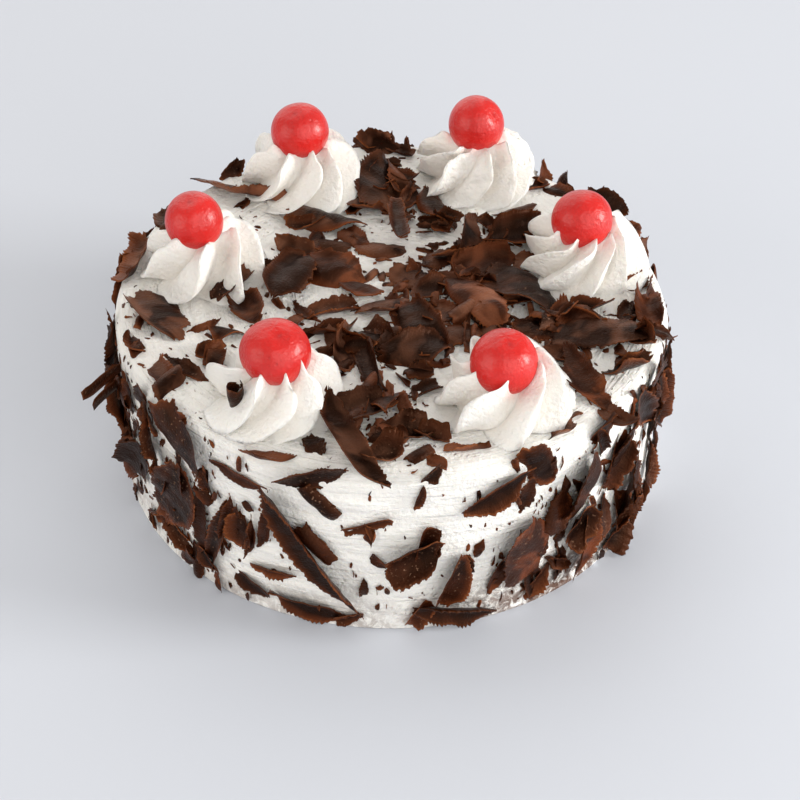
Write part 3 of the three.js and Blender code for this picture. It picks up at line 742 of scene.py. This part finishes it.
onWall = [
    flake("shard", (224, 33), 78, (27, 19), 30, lean=8, tone=0.45),
    flake("blade", (216.5, 49), -78, (28, 9), 40, lean=20),
    flake("shard", (226.5, 57), -50, (24, 17), -25, rise=1.2, tone=0.5),
    flake("strip", (234, 24), 74, (35, 6.5), 50, lean=10),
    flake("blade", (254, 31), -57, (56, 11), 35, lean=6, tone=0.25),
    flake("shard", (275, 33), 18, (18, 15), 85),
    flake("shard", (283, 22), 76, (21, 11), 70, lean=8),
    flake("shard", (297, 27), 68, (26, 19), -25, lean=10),
    flake("blade", (291.5, 54), 30, (25, 9.5), 60),
    flake("leaf", (283.5, 8), -14, (27, 10), 50, lean=6),
    flake("shard", (310, 44), 62, (24, 17), -40, lean=8),
    flake("leaf", (312, 18), 80, (28, 13), 70, lean=14),
    flake("shard", (325, 27), 72, (24, 13), 50, lean=16),
    flake("blade", (331, 52), -62, (24, 10), 40, lean=12),
    flake("shard", (299.5, 60), -62, (19, 10), -40, lean=6),
    flake("strip", (256, 36), -50, (15, 7), -130, rise=1.5),
    flake("blade", (256, 62), 14, (22, 8.5), 30, lean=8),
    flake("blade", (254, 6), -14, (25, 9), 40),
]

# The middle-sized shavings that show in front, on the cream between the large ones
moreOnTop = [
    flake("shard", (51, -67), 40, (12, 10), -40, lean=10),
    flake("strip", (23, -78), 2, (14, 4), 40, lean=-20),
    flake("shard", (-2, -81), -10, (11, 10), 90),
    flake("roll", (9, -80), 40, (9, 6), -120),
    flake("shard", (80, 4), 20, (10, 7), 50, lean=20),
    flake("blade", (84, 1), 80, (13, 4), 60, lean=60),
    flake("shard", (55, -13), 50, (12, 9), -50),
    flake("shard", (64, -10), -20, (14, 8), 40, lean=14),
    flake("shard", (76, -12), 60, (11, 8), -60),
    flake("shard", (22, -24), 15, (15, 10), -40, rise=1),
    flake("shard", (-4, -26), -35, (13, 9), 70, lean=12),
    flake("roll", (11, -51), 35, (10, 7), 130),
    flake("blade", (-80, -30), -60, (12, 5), 40, lean=20),
    flake("blade", (-70, -46), -70, (16, 8), 35, lean=-8),
    flake("shard", (-57, -34), 30, (8, 5), 50),
    flake("blade", (-59, -21), 30, (12, 2.6), 40, lean=20),
    flake("shard", (-22, -77), -60, (10, 7), 60, lean=12),
    flake("blade", (-36, -82), -15, (17, 6), 30, lean=-10),
    flake("blade", (-29, 33), 8, (14, 6), 60, rise=1.5),
    flake("roll", (-25, 13), 40, (12, 6), 160, rise=2),
    flake("roll", (-20, 24), -12, (12, 8), -130),
    flake("shard", (-7, 88), 12, (13, 7), 50, lean=40),
    flake("roll", (3, 82), -30, (10, 7), 150),
    flake("shard", (-56, 68), 45, (11, 6), 40, lean=30),
    flake("blade", (53, 70), 80, (13, 6), 50, lean=60),
    flake("roll", (50, 62), 20, (10, 7), 120),
    flake("shard", (57.5, 58), -40, (11, 7), -60),
    flake("roll", (14, 35), 15, (11, 9), 220, rise=1),
    flake("roll", (19, 37), -35, (9, 8), 200, rise=3),
    flake("shard", (16, 16), 30, (13, 7), -60, rise=1),
    flake("shard", (44, 14), -30, (13, 9), -50),
    flake("shard", (83, 22), 70, (11, 7), 50, lean=40),
    flake("shard", (-5, 62), 80, (16, 10), 60, lean=55, rise=1),
    flake("shard", (3, 59), -70, (14, 10), -80, lean=-30, rise=3),
    flake("roll", (-3, 69), 20, (13, 8), 180, rise=2),
    flake("blade", (6, 50), 60, (15, 7), 60, lean=20, rise=2),
    flake("shard", (-9, 45), -20, (14, 9), -70, rise=2),
    flake("shard", (-12, 48), 40, (11, 7), 50, lean=14),
    flake("shard", (7, 4), -15, (17, 11), -60, rise=1),
    flake("shard", (12, -2), 35, (13, 9), 50, lean=18, rise=1.5),
    flake("shard", (-10, -3), -40, (14, 9), -70, rise=2),
    flake("blade", (20, 2), -25, (17, 7), 60, lean=16, rise=2),
    flake("shard", (52, -34), -30, (14, 9), 50, lean=10),
    flake("shard", (40, -30), 20, (15, 10), -50),
    flake("shard", (33, -22), 60, (13, 9), -60, rise=1.5),
    flake("blade", (68, -62), -40, (14, 6), 40, lean=20),
    flake("shard", (79, -26), -60, (13, 9), 40, lean=26),
    flake("shard", (-20, -22), 20, (12, 7), 60, lean=16),
    flake("blade", (-28, -14), -50, (14, 5), 50, lean=14),
    flake("blade", (-68, 41), 60, (13, 6), 50, lean=30),
    flake("shard", (-73, 33), -30, (12, 7), -40, lean=20),
    flake("roll", (-46, -70), 250, (9, 16), 330, tip=80, rise=6.5, tone=0.2),
]
moreOnWall = [
    flake("strip", (202, 55), 186, (19, 4.4), 30, tip=-50, clean=True, tone=0.2),
    flake("strip", (202, 50), 190, (18, 3.4), 30, tip=-46, clean=True, tone=0.2),
    flake("blade", (230, 27), 88, (30, 5), 50, lean=10.8),
    flake("roll", (220, 21), 10, (13, 9), 120, lean=4.8),
    flake("shard", (208, 29), 60, (18, 14), 40, lean=8.4),
    flake("blade", (240, 52.5), -10, (20, 4.6), 30, lean=-4.8),
    flake("blade", (245.5, 35), 84, (15, 5), 60, lean=6),
    flake("blade", (242.5, 30), 80, (19, 4), 50, lean=7.2),
    flake("blade", (237.5, 34), 76, (19, 6), 60, lean=8.4),
    flake("blade", (247, 18), 5, (16, 4.4), 40),
    flake("roll", (257, 53), -45, (14, 6), -120, rise=1),
    flake("strip", (266, 45), 24, (16, 4.5), 120, lean=8.4),
    flake("roll", (277.5, 38), 80, (14, 8), 130),
    flake("shard", (278, 64), 50, (8, 7), 50),
    flake("blade", (276, 56), 70, (9, 3), 40),
    flake("blade", (265.5, 18.5), 80, (8, 3.2), 40),
    flake("blade", (292, 20), 76, (16, 6), 50, lean=6),
    flake("roll", (276.5, 4.5), 60, (11, 8), 130),
    flake("shard", (262.5, 5), 30, (10, 5), 60),
    flake("blade", (306.5, 14), 84, (18, 5), 60, lean=6),
    flake("shard", (310, 28), 50, (15, 11), 40, lean=6, rise=1.5),
    flake("blade", (318, 25), 80, (18, 7), 50, lean=12),
    flake("shard", (324, 9), 60, (14, 11), 50, lean=7.2),
    flake("shard", (324.5, 46), 40, (13, 9), -40, lean=6),
    flake("shard", (316, 62), 20, (12, 9), 40, lean=7.2),
    flake("blade", (337, 46), 84, (30, 9), 60, lean=14.4),
    flake("blade", (343, 40), -80, (28, 10), 50, lean=12),
    flake("blade", (349, 48), 80, (26, 9), 50, lean=15.6),
    flake("shard", (338, 22), 70, (18, 10), 60, lean=9.6),
    flake("blade", (346, 20), 85, (20, 7), 50, lean=9.6),
    flake("blade", (355, 36), -82, (24, 8), 50, lean=14.4),
    flake("shard", (196, 40), -75, (24, 11), 40, lean=13.2),
    flake("blade", (200, 22), 70, (20, 7), 50, lean=12),
    flake("blade", (190, 54), 84, (22, 9), 50, lean=14.4),
    flake("shard", (186, 34), 70, (20, 10), 60, lean=12),
    flake("blade", (215, 12), 30, (13, 5), 50, lean=6),
    flake("shard", (231, 11), -40, (11, 7), 50, lean=6),
    flake("shard", (242, 9), -25, (13, 7), 50, lean=6),
    flake("blade", (268, 30), -60, (8, 4), 40),
    flake("shard", (301, 10), 30, (12, 7), 60, lean=4.8),
    flake("shard", (331, 13), 60, (13, 7), 50, lean=8.4),
]


def frameAt(shaving, wall):
    # x along the shaving, y across it, z out of the cream
    out, east = Vector((0, 0, 1)), Vector((1, 0, 0))
    at = Vector((*shaving["at"], cake["height"]))
    if wall:
        angle = radians(shaving["at"][0])
        out, east = Vector((cos(angle), sin(angle), 0)), Vector((-sin(angle), cos(angle), 0))
        at = out * cake["radius"]
        at.z = shaving["at"][1]
    basis = Matrix((east, out.cross(east), out)).transposed()
    basis = basis @ Matrix.Rotation(radians(shaving["turn"]), 3, "Z")
    basis = basis @ Matrix.Rotation(radians(-shaving.get("tip", 0)), 3, "Y")
    basis = basis @ Matrix.Rotation(radians(shaving.get("lean", 0)), 3, "X")
    return basis, at, out


def shavingPoint(shaving, u, v, taper=1.8, curlBy=1.0):
    # the shaving's middle surface; u runs along it and v across it, both from -1 to 1
    kind = kinds[shaving["kind"]]
    length, width = shaving["size"]
    end = kind["ends"][0] if u < 0 else kind["ends"][1]
    half = width / 2 * mix(1, end, abs(u) ** taper)
    across = v * half + kind["lop"] * (width / 2 - half)
    ahead = u * length / 2 + kind["slant"] * v * half
    curlRadius = width / radians(shaving["curl"] * curlBy)
    archRadius = length / radians(kind["arch"])
    return Vector((
        archRadius * sin(ahead / archRadius),
        curlRadius * sin(across / curlRadius),
        curlRadius * (1 - cos(across / curlRadius)) - archRadius * (1 - cos(ahead / archRadius)),
    ))


def normalOf(middle, u, v, step=0.02):
    alongU = middle(u + step, v) - middle(u - step, v)
    alongV = middle(u, v + step) - middle(u, v - step)
    return alongU.cross(alongV).normalized()


def stepsOf(shaving):
    longSide, curl = shaving["size"][0], abs(shaving["curl"])
    return (6 if longSide > 30 else 4 if longSide > 16 else 2), (3 if curl > 60 and longSide > 16 else 2)


def restingShift(shaving, wall, depth):
    # moves the shaving out until its lowest point is depth above the bare cream, and above the foot
    basis, at, out = frameAt(shaving, wall)
    stepsLong, stepsWide = stepsOf(shaving)
    corners = []
    for i in range(stepsLong + 1):
        for j in range(stepsWide + 1):
            u, v = 2 * i / stepsLong - 1, 2 * j / stepsWide - 1
            normal = normalOf(lambda a, b: shavingPoint(shaving, a, b), u, v)
            for side in (0.5, -0.5):
                corner = shavingPoint(shaving, u, v) + normal * side * shavingSize["solidThickness"]
                corners.append(basis @ corner)
    shift = at.copy()
    for _ in range(4):
        lowest = min(outsideCake(corner + shift) for corner in corners)
        foot = min(corner.z + shift.z for corner in corners)
        shift += out * (depth - lowest)
        shift.z += max(0, 2 * cake["gap"] - foot)
    return basis, shift


serration = {"pitch": (0.9, 1.5), "depth": (0.7, 1.9), "share": 0.8}
chips = {
    "corner": 0.85,  # the most that a corner is broken off, as a share of the half length
    "notch": 0.45,
    "notchShare": 0.45,
    "lip": 0.55,
    "twist": 34.0,
    "endNoise": 1.5,
    "extraCurl": 1.7,
    "endLift": (-1.2, 3.2),
    "fold": 0.75,
    "foldShare": 0.4,
    "rolledFrom": 120,  # degrees of curl from which a shaving is a roll, with whole edges
    "torn": (0.25, 0.04),  # depth of the tears, and how much deeper they are for each millimetre of width
    "mostCells": (190, 18),
}


def shavingLayers(shape):
    # every layer is made before any is fetched, because a new one moves the others
    if not shape.verts.layers.float.get("fromEdge"):
        shape.verts.layers.float.new("fromEdge")
        setFloatVector(shape, "grainAt")
        setColour(shape, "shavingToneAndSheen")
    fromEdge = shape.verts.layers.float["fromEdge"]
    return setFloatVector(shape, "grainAt"), setColour(shape, "shavingToneAndSheen"), fromEdge


def sideOf(draw):
    return 1 if draw() < 0.5 else -1


def addShaving(shape, shaving, wall, depth, draw, cell=(0.3, 1.0), loose=1.0):
    # a thin bent chip with one saw-toothed long side, a torn side and slightly curled ends
    basis, shift = restingShift(shaving, wall, depth)
    length, width = shaving["size"]
    nLong = max(5, min(int(length / cell[0]), chips["mostCells"][0]))
    nWide = max(2, min(int(width / cell[1]), chips["mostCells"][1]))
    grainAt, shavingToneAndSheen, fromEdge = shavingLayers(shape)
    seed = 40 * draw()
    pitch = mix(*serration["pitch"], draw())
    teeth = mix(*serration["depth"], draw()) * min(1, width / 7)
    toothSide = sideOf(draw) if draw() < serration["share"] else 0
    tone, bloom, thinness = draw(), clamp(2.0 * draw() - 0.9), mix(0.25, 1.0, draw())
    tone = shaving.get("tone", tone)
    endLifts = [mix(*chips["endLift"], draw()) * length / 20 * loose for _ in range(2)]
    rolled = abs(shaving["curl"]) >= chips["rolledFrom"] or shaving.get("clean", False)
    corner = chips["corner"] * (0.25 if rolled else 1)
    cuts = [[corner * draw() ** 1.3 for _ in range(2)] for _ in range(2)]  # how far each corner is broken off
    taper = mix(1.1, 3.2, draw())
    notchAt, notchSide = mix(-0.7, 0.7, draw()), sideOf(draw)
    notch = chips["notch"] * draw() if draw() < chips["notchShare"] and not rolled else 0
    lipSide, lip = sideOf(draw), 0 if rolled else chips["lip"] * width * draw() * loose
    curlBy = 1 if rolled else mix(1, chips["extraCurl"], draw())
    twist = 0 if rolled else radians(chips["twist"]) * (2 * draw() - 1) * loose
    foldBy = chips["fold"] * mix(0.4, 1, draw()) * loose if draw() < chips["foldShare"] and not rolled else 0
    foldTurn, foldFrom = 2 * pi * draw(), mix(0.0, 0.25, draw()) * width
    curlSign = copysign(1, shaving["curl"])
    # the light of the window lies dull on those that face upwards
    # painted sheen, stored in the fourth channel of the shaving's tone and sheen attribute
    paintedSheen = 0 if wall else (0.1 + 0.8 * (seed % 1)) * min(1, 0.1 + 1.4 * tone)
    tornBy = chips["torn"][1] * width + chips["torn"][0]
    ripple, endNoise = 1, chips["endNoise"] * min(1, width / 8)
    if shaving.get("clean"):
        teeth, tornBy, ripple, endNoise = 0, 0, 0, 0
    grid = bmesh.ops.create_grid(shape, x_segments=nLong, y_segments=nWide, size=1)
    verts = grid["verts"]
    faces = list({face for vert in verts for face in vert.link_faces})

    def middle(u, v):
        point = shavingPoint(shaving, u, v, taper, curlBy)
        lift = endLifts[0] if u < 0 else endLifts[1]
        point.z += curlSign * lift * max(0, abs(u) - 0.45) ** 2 * 2.4
        point.z += lip * max(0, v * lipSide - 0.2) ** 2 * 1.6
        beyond = u * length / 2 * cos(foldTurn) + v * width / 2 * sin(foldTurn) - foldFrom
        point.z += curlSign * foldBy * max(0, beyond)
        waves = 0.12 * sin(u * length / 2.3 + seed) + 0.3 * hillsAt(u * length, v * width, 0, 8, seed)
        point.z += ripple * waves
        turned = twist * u
        y, z = point.y, point.z
        point.y, point.z = y * cos(turned) - z * sin(turned), y * sin(turned) + z * cos(turned)
        return point

    for vert in verts:
        u, v = vert.co.x, vert.co.y
        atRim = abs(v)
        cut = cuts[0 if u < 0 else 1][0 if v < 0 else 1]
        v *= 1 - 0.75 * clamp((abs(u) - 1 + cut) / max(cut, 0.05)) * min(1, cut * 2.5)
        if notch and v * notchSide > 0:
            v *= 1 - notch * max(0, 1 - abs(u - notchAt) * length / 2 / (1.2 + 0.12 * width))
        point = middle(u, v) + normalOf(middle, u, v) * 0.5 * shavingSize["thickness"]
        sideways = (middle(u, v + 0.02) - middle(u, v - 0.02)).normalized()
        rim = smooth(0.8, 1.0, atRim)
        if toothSide and vert.co.y * toothSide > 0.9:
            t = (u * length / 2 + seed) / pitch
            point += sideways * toothSide * teeth * (t - floor(t)) * (0.6 + 0.4 * sin(t * 0.9 + seed))
        else:
            torn = hillsAt(u * length, seed, v, 2.6, seed) + 0.6 * hillsAt(u * length, seed, v, 0.9, seed + 4)
            point += sideways * copysign(1, v) * rim * tornBy * 1.4 * torn
        endwise = (middle(u + 0.02, v) - middle(u - 0.02, v)).normalized()
        ragged = hillsAt(v * width, seed, u, 2.6, seed + 7) + 0.7 * hillsAt(v * width, seed, u, 1.1, seed + 2)
        point += endwise * copysign(1, u) * smooth(0.8, 1.0, abs(u)) * endNoise * ragged
        vert[grainAt] = (u * length / 2 * mm, v * width / 2 * mm, seed * 10 * mm)
        vert[shavingToneAndSheen] = (tone, thinness * (1 if toothSide and v * toothSide > 0 else 0.6), bloom, paintedSheen)
        vert[fromEdge] = min((1 - atRim) * width / 2, (1 - abs(u)) * length / 2)
        vert.co = basis @ point + shift
    bmesh.ops.solidify(shape, geom=faces, thickness=shavingSize["thickness"])
    for vert in shape.verts:
        vert.co.z = max(vert.co.z, shavingSize["aboveTable"])


arcTurn = 2 * pi * cake["radius"]
smallKinds = ["shard", "blade", "leaf", "strip", "roll"]
placedFront = (240, 300)  # degrees round the wall where only the placed shavings lie


def onTopAt(radius, first, second):
    # two draws give a place on the round top, as thick at its middle as at its rim
    r = radius * sqrt(first)
    return r * cos(2 * pi * second), r * sin(2 * pi * second)


def fromRosettes(at):
    return min(apart(rosette["at"], at) for rosette in rosettes)


def smallShavings(count, wall, seed):
    # the same seeded places as the small shavings of the solid
    draw = drawsFrom(seed)
    taken = [(shaving, 0.3) for shaving in (onWall if wall else onTop)]
    made = []
    while len(made) < count:
        share = len(made) / count
        kind = smallKinds[floor(draw() * len(smallKinds))]
        length = mix(20 if wall else 14, 8, share) * (0.8 + 0.5 * draw())
        width = length * (0.35 + 0.4 * draw())
        curl = -sideOf(draw) * (40 + 90 * draw())
        turn = 360 * draw()
        first, second = draw(), draw()
        lean = (draw() - 0.5) * 40
        at = onTopAt(cake["radius"] - cake["edge"], first, second)
        if wall:
            at = (360 * first, 7 + (cake["height"] - 14) * second)
        shaving = flake(kind, at, turn, (length, width), curl, lean=lean)

        def clearOf(other, spread):
            need = spread * (length + sum(other["size"]) / 2)
            if not wall:
                return apart(other["at"], at) > need
            away = radians(other["at"][0] - at[0]) * cake["radius"]
            away -= arcTurn * floor(away / arcTurn + 0.5)
            return hypot(away, other["at"][1] - at[1]) > need

        onRosette = not wall and fromRosettes(at) <= piping["radius"] + length * 0.3
        inFront = wall and placedFront[0] < at[0] < placedFront[1]
        if inFront or onRosette or not all(clearOf(*other) for other in taken):
            continue
        taken.append((shaving, 0.42))
        made.append(shaving)
    return made


crumbSize = 5  # pieces up to this length lie on the clear spots too, and never on top of a heap
# x, y, how wide and how tall
heaps = [(22, -10, 20, 3.6), (0, 57, 11, 7.0), (54, -14, 14, 3.0), (4, -28, 13, 2.6), (27, 30, 9, 1.5),
         (-4, -62, 12, 2.4)]
onTopOfHeap = [(27, -8), (42, -2), (66, -25), (59, -49), (9, -22), (-12, -79)]
leftClear = {"at": onTopOfHeap, "within": 11, "share": 0.9}
thinner = {"at": [(-24, 18)], "within": 30, "share": 0.95}  # to the left of the middle the cream shows
barePatch = {"from": 240, "to": 288, "keep": 0.3}  # the wall in front shows more of its cream
backLoose = {"upTo": 180, "longerThan": 7, "times": 1.35}  # larger ones, as none are placed at the back
upright = {"share": 0.7, "turn": (55, 125)}  # most of those on the wall stand


def heapHeight(x, y):
    return sum(tall * exp(-((x - cx) ** 2 + (y - cy) ** 2) / wide ** 2) for cx, cy, wide, tall in heaps)


def extraShavings(count, wall, seed, sizes):
    # many smaller shavings, thicker where the large ones lie close together
    draw = drawsFrom(seed)
    made = []
    while len(made) < count:
        kind = smallKinds[int(draw() * len(smallKinds))]
        length = mix(*sizes, draw() ** 1.4)
        width = length * (0.28 + 0.5 * draw())
        curl = -sideOf(draw) * (30 + 130 * draw())
        first, second, chance = draw(), draw(), draw()
        lean, tip, turn = (draw() - 0.5) * 80, (draw() - 0.5) * (24 if wall else 40), draw()
        rise = 0
        if wall:
            at = (360 * first, 2.5 + (cake["height"] - 5) * second)
            if length > backLoose["longerThan"] and at[0] < backLoose["upTo"]:
                length, width = backLoose["times"] * length, backLoose["times"] * width
            x, y = 70 * cos(radians(at[0])), 70 * sin(radians(at[0]))
            keep = smooth(-0.55, 0.2, hillsAt(x, y, at[1], 17, 6.6))
            bare = smooth(barePatch["from"] - 8, barePatch["from"] + 4, at[0])
            bare *= smooth(barePatch["to"] + 8, barePatch["to"] - 4, at[0])
            keep *= mix(1, barePatch["keep"], bare)
            turn = mix(*upright["turn"], turn / upright["share"]) if turn < upright["share"] else 360 * turn
            lean *= 0.5
        else:
            at = onTopAt(cake["radius"] - 3, first, second)
            inHeap = heapHeight(*at)
            keep = clamp(0.12 + 0.3 * inHeap) * smooth(-0.6, 0.0, hillsAt(*at, 0, 16, 2.9))
            if length > crumbSize:
                for spots in (thinner, leftClear):
                    closest = min(apart(spot, at) for spot in spots["at"])
                    keep *= 1 - spots["share"] * exp(-(closest / spots["within"]) ** 2)
            rise = inHeap * turn * 0.8 if length > crumbSize else 0
            turn *= 360
            if fromRosettes(at) < piping["radius"] - 1 + length * 0.25:
                keep = 0
        if chance < keep:
            made.append(flake(kind, at, turn, (length, width), curl, lean=lean, tip=tip, rise=rise))
    return made


def startShavings():
    shape = bmesh.new()
    shavingLayers(shape)
    return shape


placed = [(shaving, True) for shaving in onWall] + [(shaving, False) for shaving in onTop]
large = [pair for pair in placed if pair[0]["size"][0] * pair[0]["size"][1] >= shavingSize["largeArea"]]
small = [pair for pair in placed if pair not in large]
small += [(shaving, True) for shaving in smallShavings(shavingSize["smallOnWall"], True, 2024)]
small += [(shaving, False) for shaving in smallShavings(shavingSize["smallOnTop"], False, 77)]

for k, (shaving, wall) in enumerate(large):
    shape = startShavings()
    depth = cake["gap"] + shaving.get("rise", 0)
    addShaving(shape, shaving, wall, depth, drawsFrom(500 + k * 7), loose=0.5 if wall else 0.8)
    piece = pieceFrom(shape, f"largeShaving{k + 1:02d}", darkChocolate)
    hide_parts(f"large_shaving_{k + 1:02d}")
print("large shavings made:", len(large))


def shavingsPiece(name, members, seed, cell):
    shape = startShavings()
    draw = drawsFrom(seed)
    for shaving, wall in members:
        one = startShavings()
        depth = shaving.get("rise", 0) - shavingSize["pressedIn"] * 0.8
        addShaving(one, shaving, wall, depth, draw, cell, 0.65 if wall else 1)
        mesh = meshFrom(one, "oneShaving")
        shape.from_mesh(mesh)
        bpy.data.meshes.remove(mesh)
    piece = pieceFrom(shape, name, darkChocolate)
    print(name, "made of", len(members), "shavings with", len(piece.data.polygons), "faces")


fine, middling, coarse, coarsest = (0.4, 1.1), (0.55, 1.2), (0.8, 1.4), (1.0, 1.2)  # cells, along and across
shavingsPiece("stuckShavings", small, 31, fine)
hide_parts("iced_cake")
shavingsPiece("middleShavings", [(s, False) for s in moreOnTop] + [(s, True) for s in moreOnWall], 32, fine)
strewn = [
    # count, seed, and the least and greatest length
    {"name": "looseShavings", "wall": (120, 91, (7, 16)), "top": (74, 95, (7, 15)), "cell": middling},
    {"name": "smallShavings", "wall": (320, 92, (3, 8)), "top": (190, 96, (3, 8)), "cell": coarse},
    {"name": "crumbs", "wall": (1100, 93, (0.8, 2.8)), "top": (900, 94, (0.8, 2.8)), "cell": coarsest},
]
for k, batch in enumerate(strewn):
    onTheWall = [(shaving, True) for shaving in extraShavings(batch["wall"][0], True, *batch["wall"][1:])]
    onTheTop = [(shaving, False) for shaving in extraShavings(batch["top"][0], False, *batch["top"][1:])]
    shavingsPiece(batch["name"], onTheWall + onTheTop, 33 + k, batch["cell"])


# Floor, lights and camera

paper = {"colours": ((0.59, 0.622, 0.688), (0.614, 0.642, 0.706)), "roughness": 0.7, "half": 4}


def paleFloor():
    shape = bmesh.new()
    bmesh.ops.create_grid(shape, x_segments=1, y_segments=1, size=paper["half"])
    floorPiece = addObject("paleFloor", meshFrom(shape, "paleFloor"))
    material, tree, shader, where = startMaterial("palePaper")
    tint = noiseNode(tree, (-300, 0), where, 2.0, 2)
    colour = mixColours(tree, (0, 0), tint, *paper["colours"])
    tree.links.new(colour, shader.inputs["Base Color"])
    shader.inputs["Roughness"].default_value = paper["roughness"]
    floorPiece.data.materials.append(material)


# metres and watts; all are turned towards the middle of the cake
lights = {
    "sideWindow": {"at": (1.36, -0.17, 0.45), "size": 0.5, "power": 17.0, "colour": (1.0, 0.985, 0.955)},
    "frontReflector": {"at": (0.6, -1.15, 0.7), "size": 1.6, "power": 14.0, "colour": (1.0, 0.99, 0.965)},
    "backWindow": {"at": (-0.35, 1.15, 0.95), "size": 2.2, "power": 17.0, "colour": (1.0, 0.98, 0.95)},
    "leftReflector": {"at": (-1.25, -0.75, 0.45), "size": 1.2, "power": 9.0, "colour": (1.0, 0.95, 0.89)},
}


lightsAim = (0, 0, 0.04)
room = {"colour": (1.0, 0.965, 0.92, 1), "strength": 0.4}


def addLight(name, light):
    data = bpy.data.lights.new(name, "AREA")
    data.size = light["size"]
    data.energy = light["power"]
    data.color = light["colour"]
    lamp = addObject(name, data)
    lamp.location = light["at"]
    lamp.rotation_euler = (Vector(lightsAim) - lamp.location).to_track_quat("-Z", "Y").to_euler()


paleFloor()
for name, light in lights.items():
    addLight(name, light)
world = bpy.data.worlds.new("softRoom")
bpy.context.scene.world = world
world.use_nodes = True
background = world.node_tree.nodes["Background"]
background.inputs[0].default_value = room["colour"]
background.inputs[1].default_value = room["strength"]

bpy.context.scene.view_settings.view_transform = "Standard"
# the photograph's camera, fitted to the cake's rims, its foot and the six cherries
cameraView = {"at": (0, -0.4835, 0.4246), "aim": (0.00335, -0.01439, 0.030), "roll": 0.89, "lens": 83.25,
              "sensor": 36}
cameraData = bpy.data.cameras.new("photoCamera")
cameraData.lens = cameraView["lens"]
cameraData.sensor_width = cameraView["sensor"]
camera = addObject("photoCamera", cameraData)
camera.location = cameraView["at"]
aim = (Vector(cameraView["aim"]) - camera.location).to_track_quat("-Z", "Y")
camera.rotation_euler = (aim @ Quaternion((0, 0, 1), radians(cameraView["roll"]))).to_euler()
bpy.context.scene.camera = camera

print("stage set")
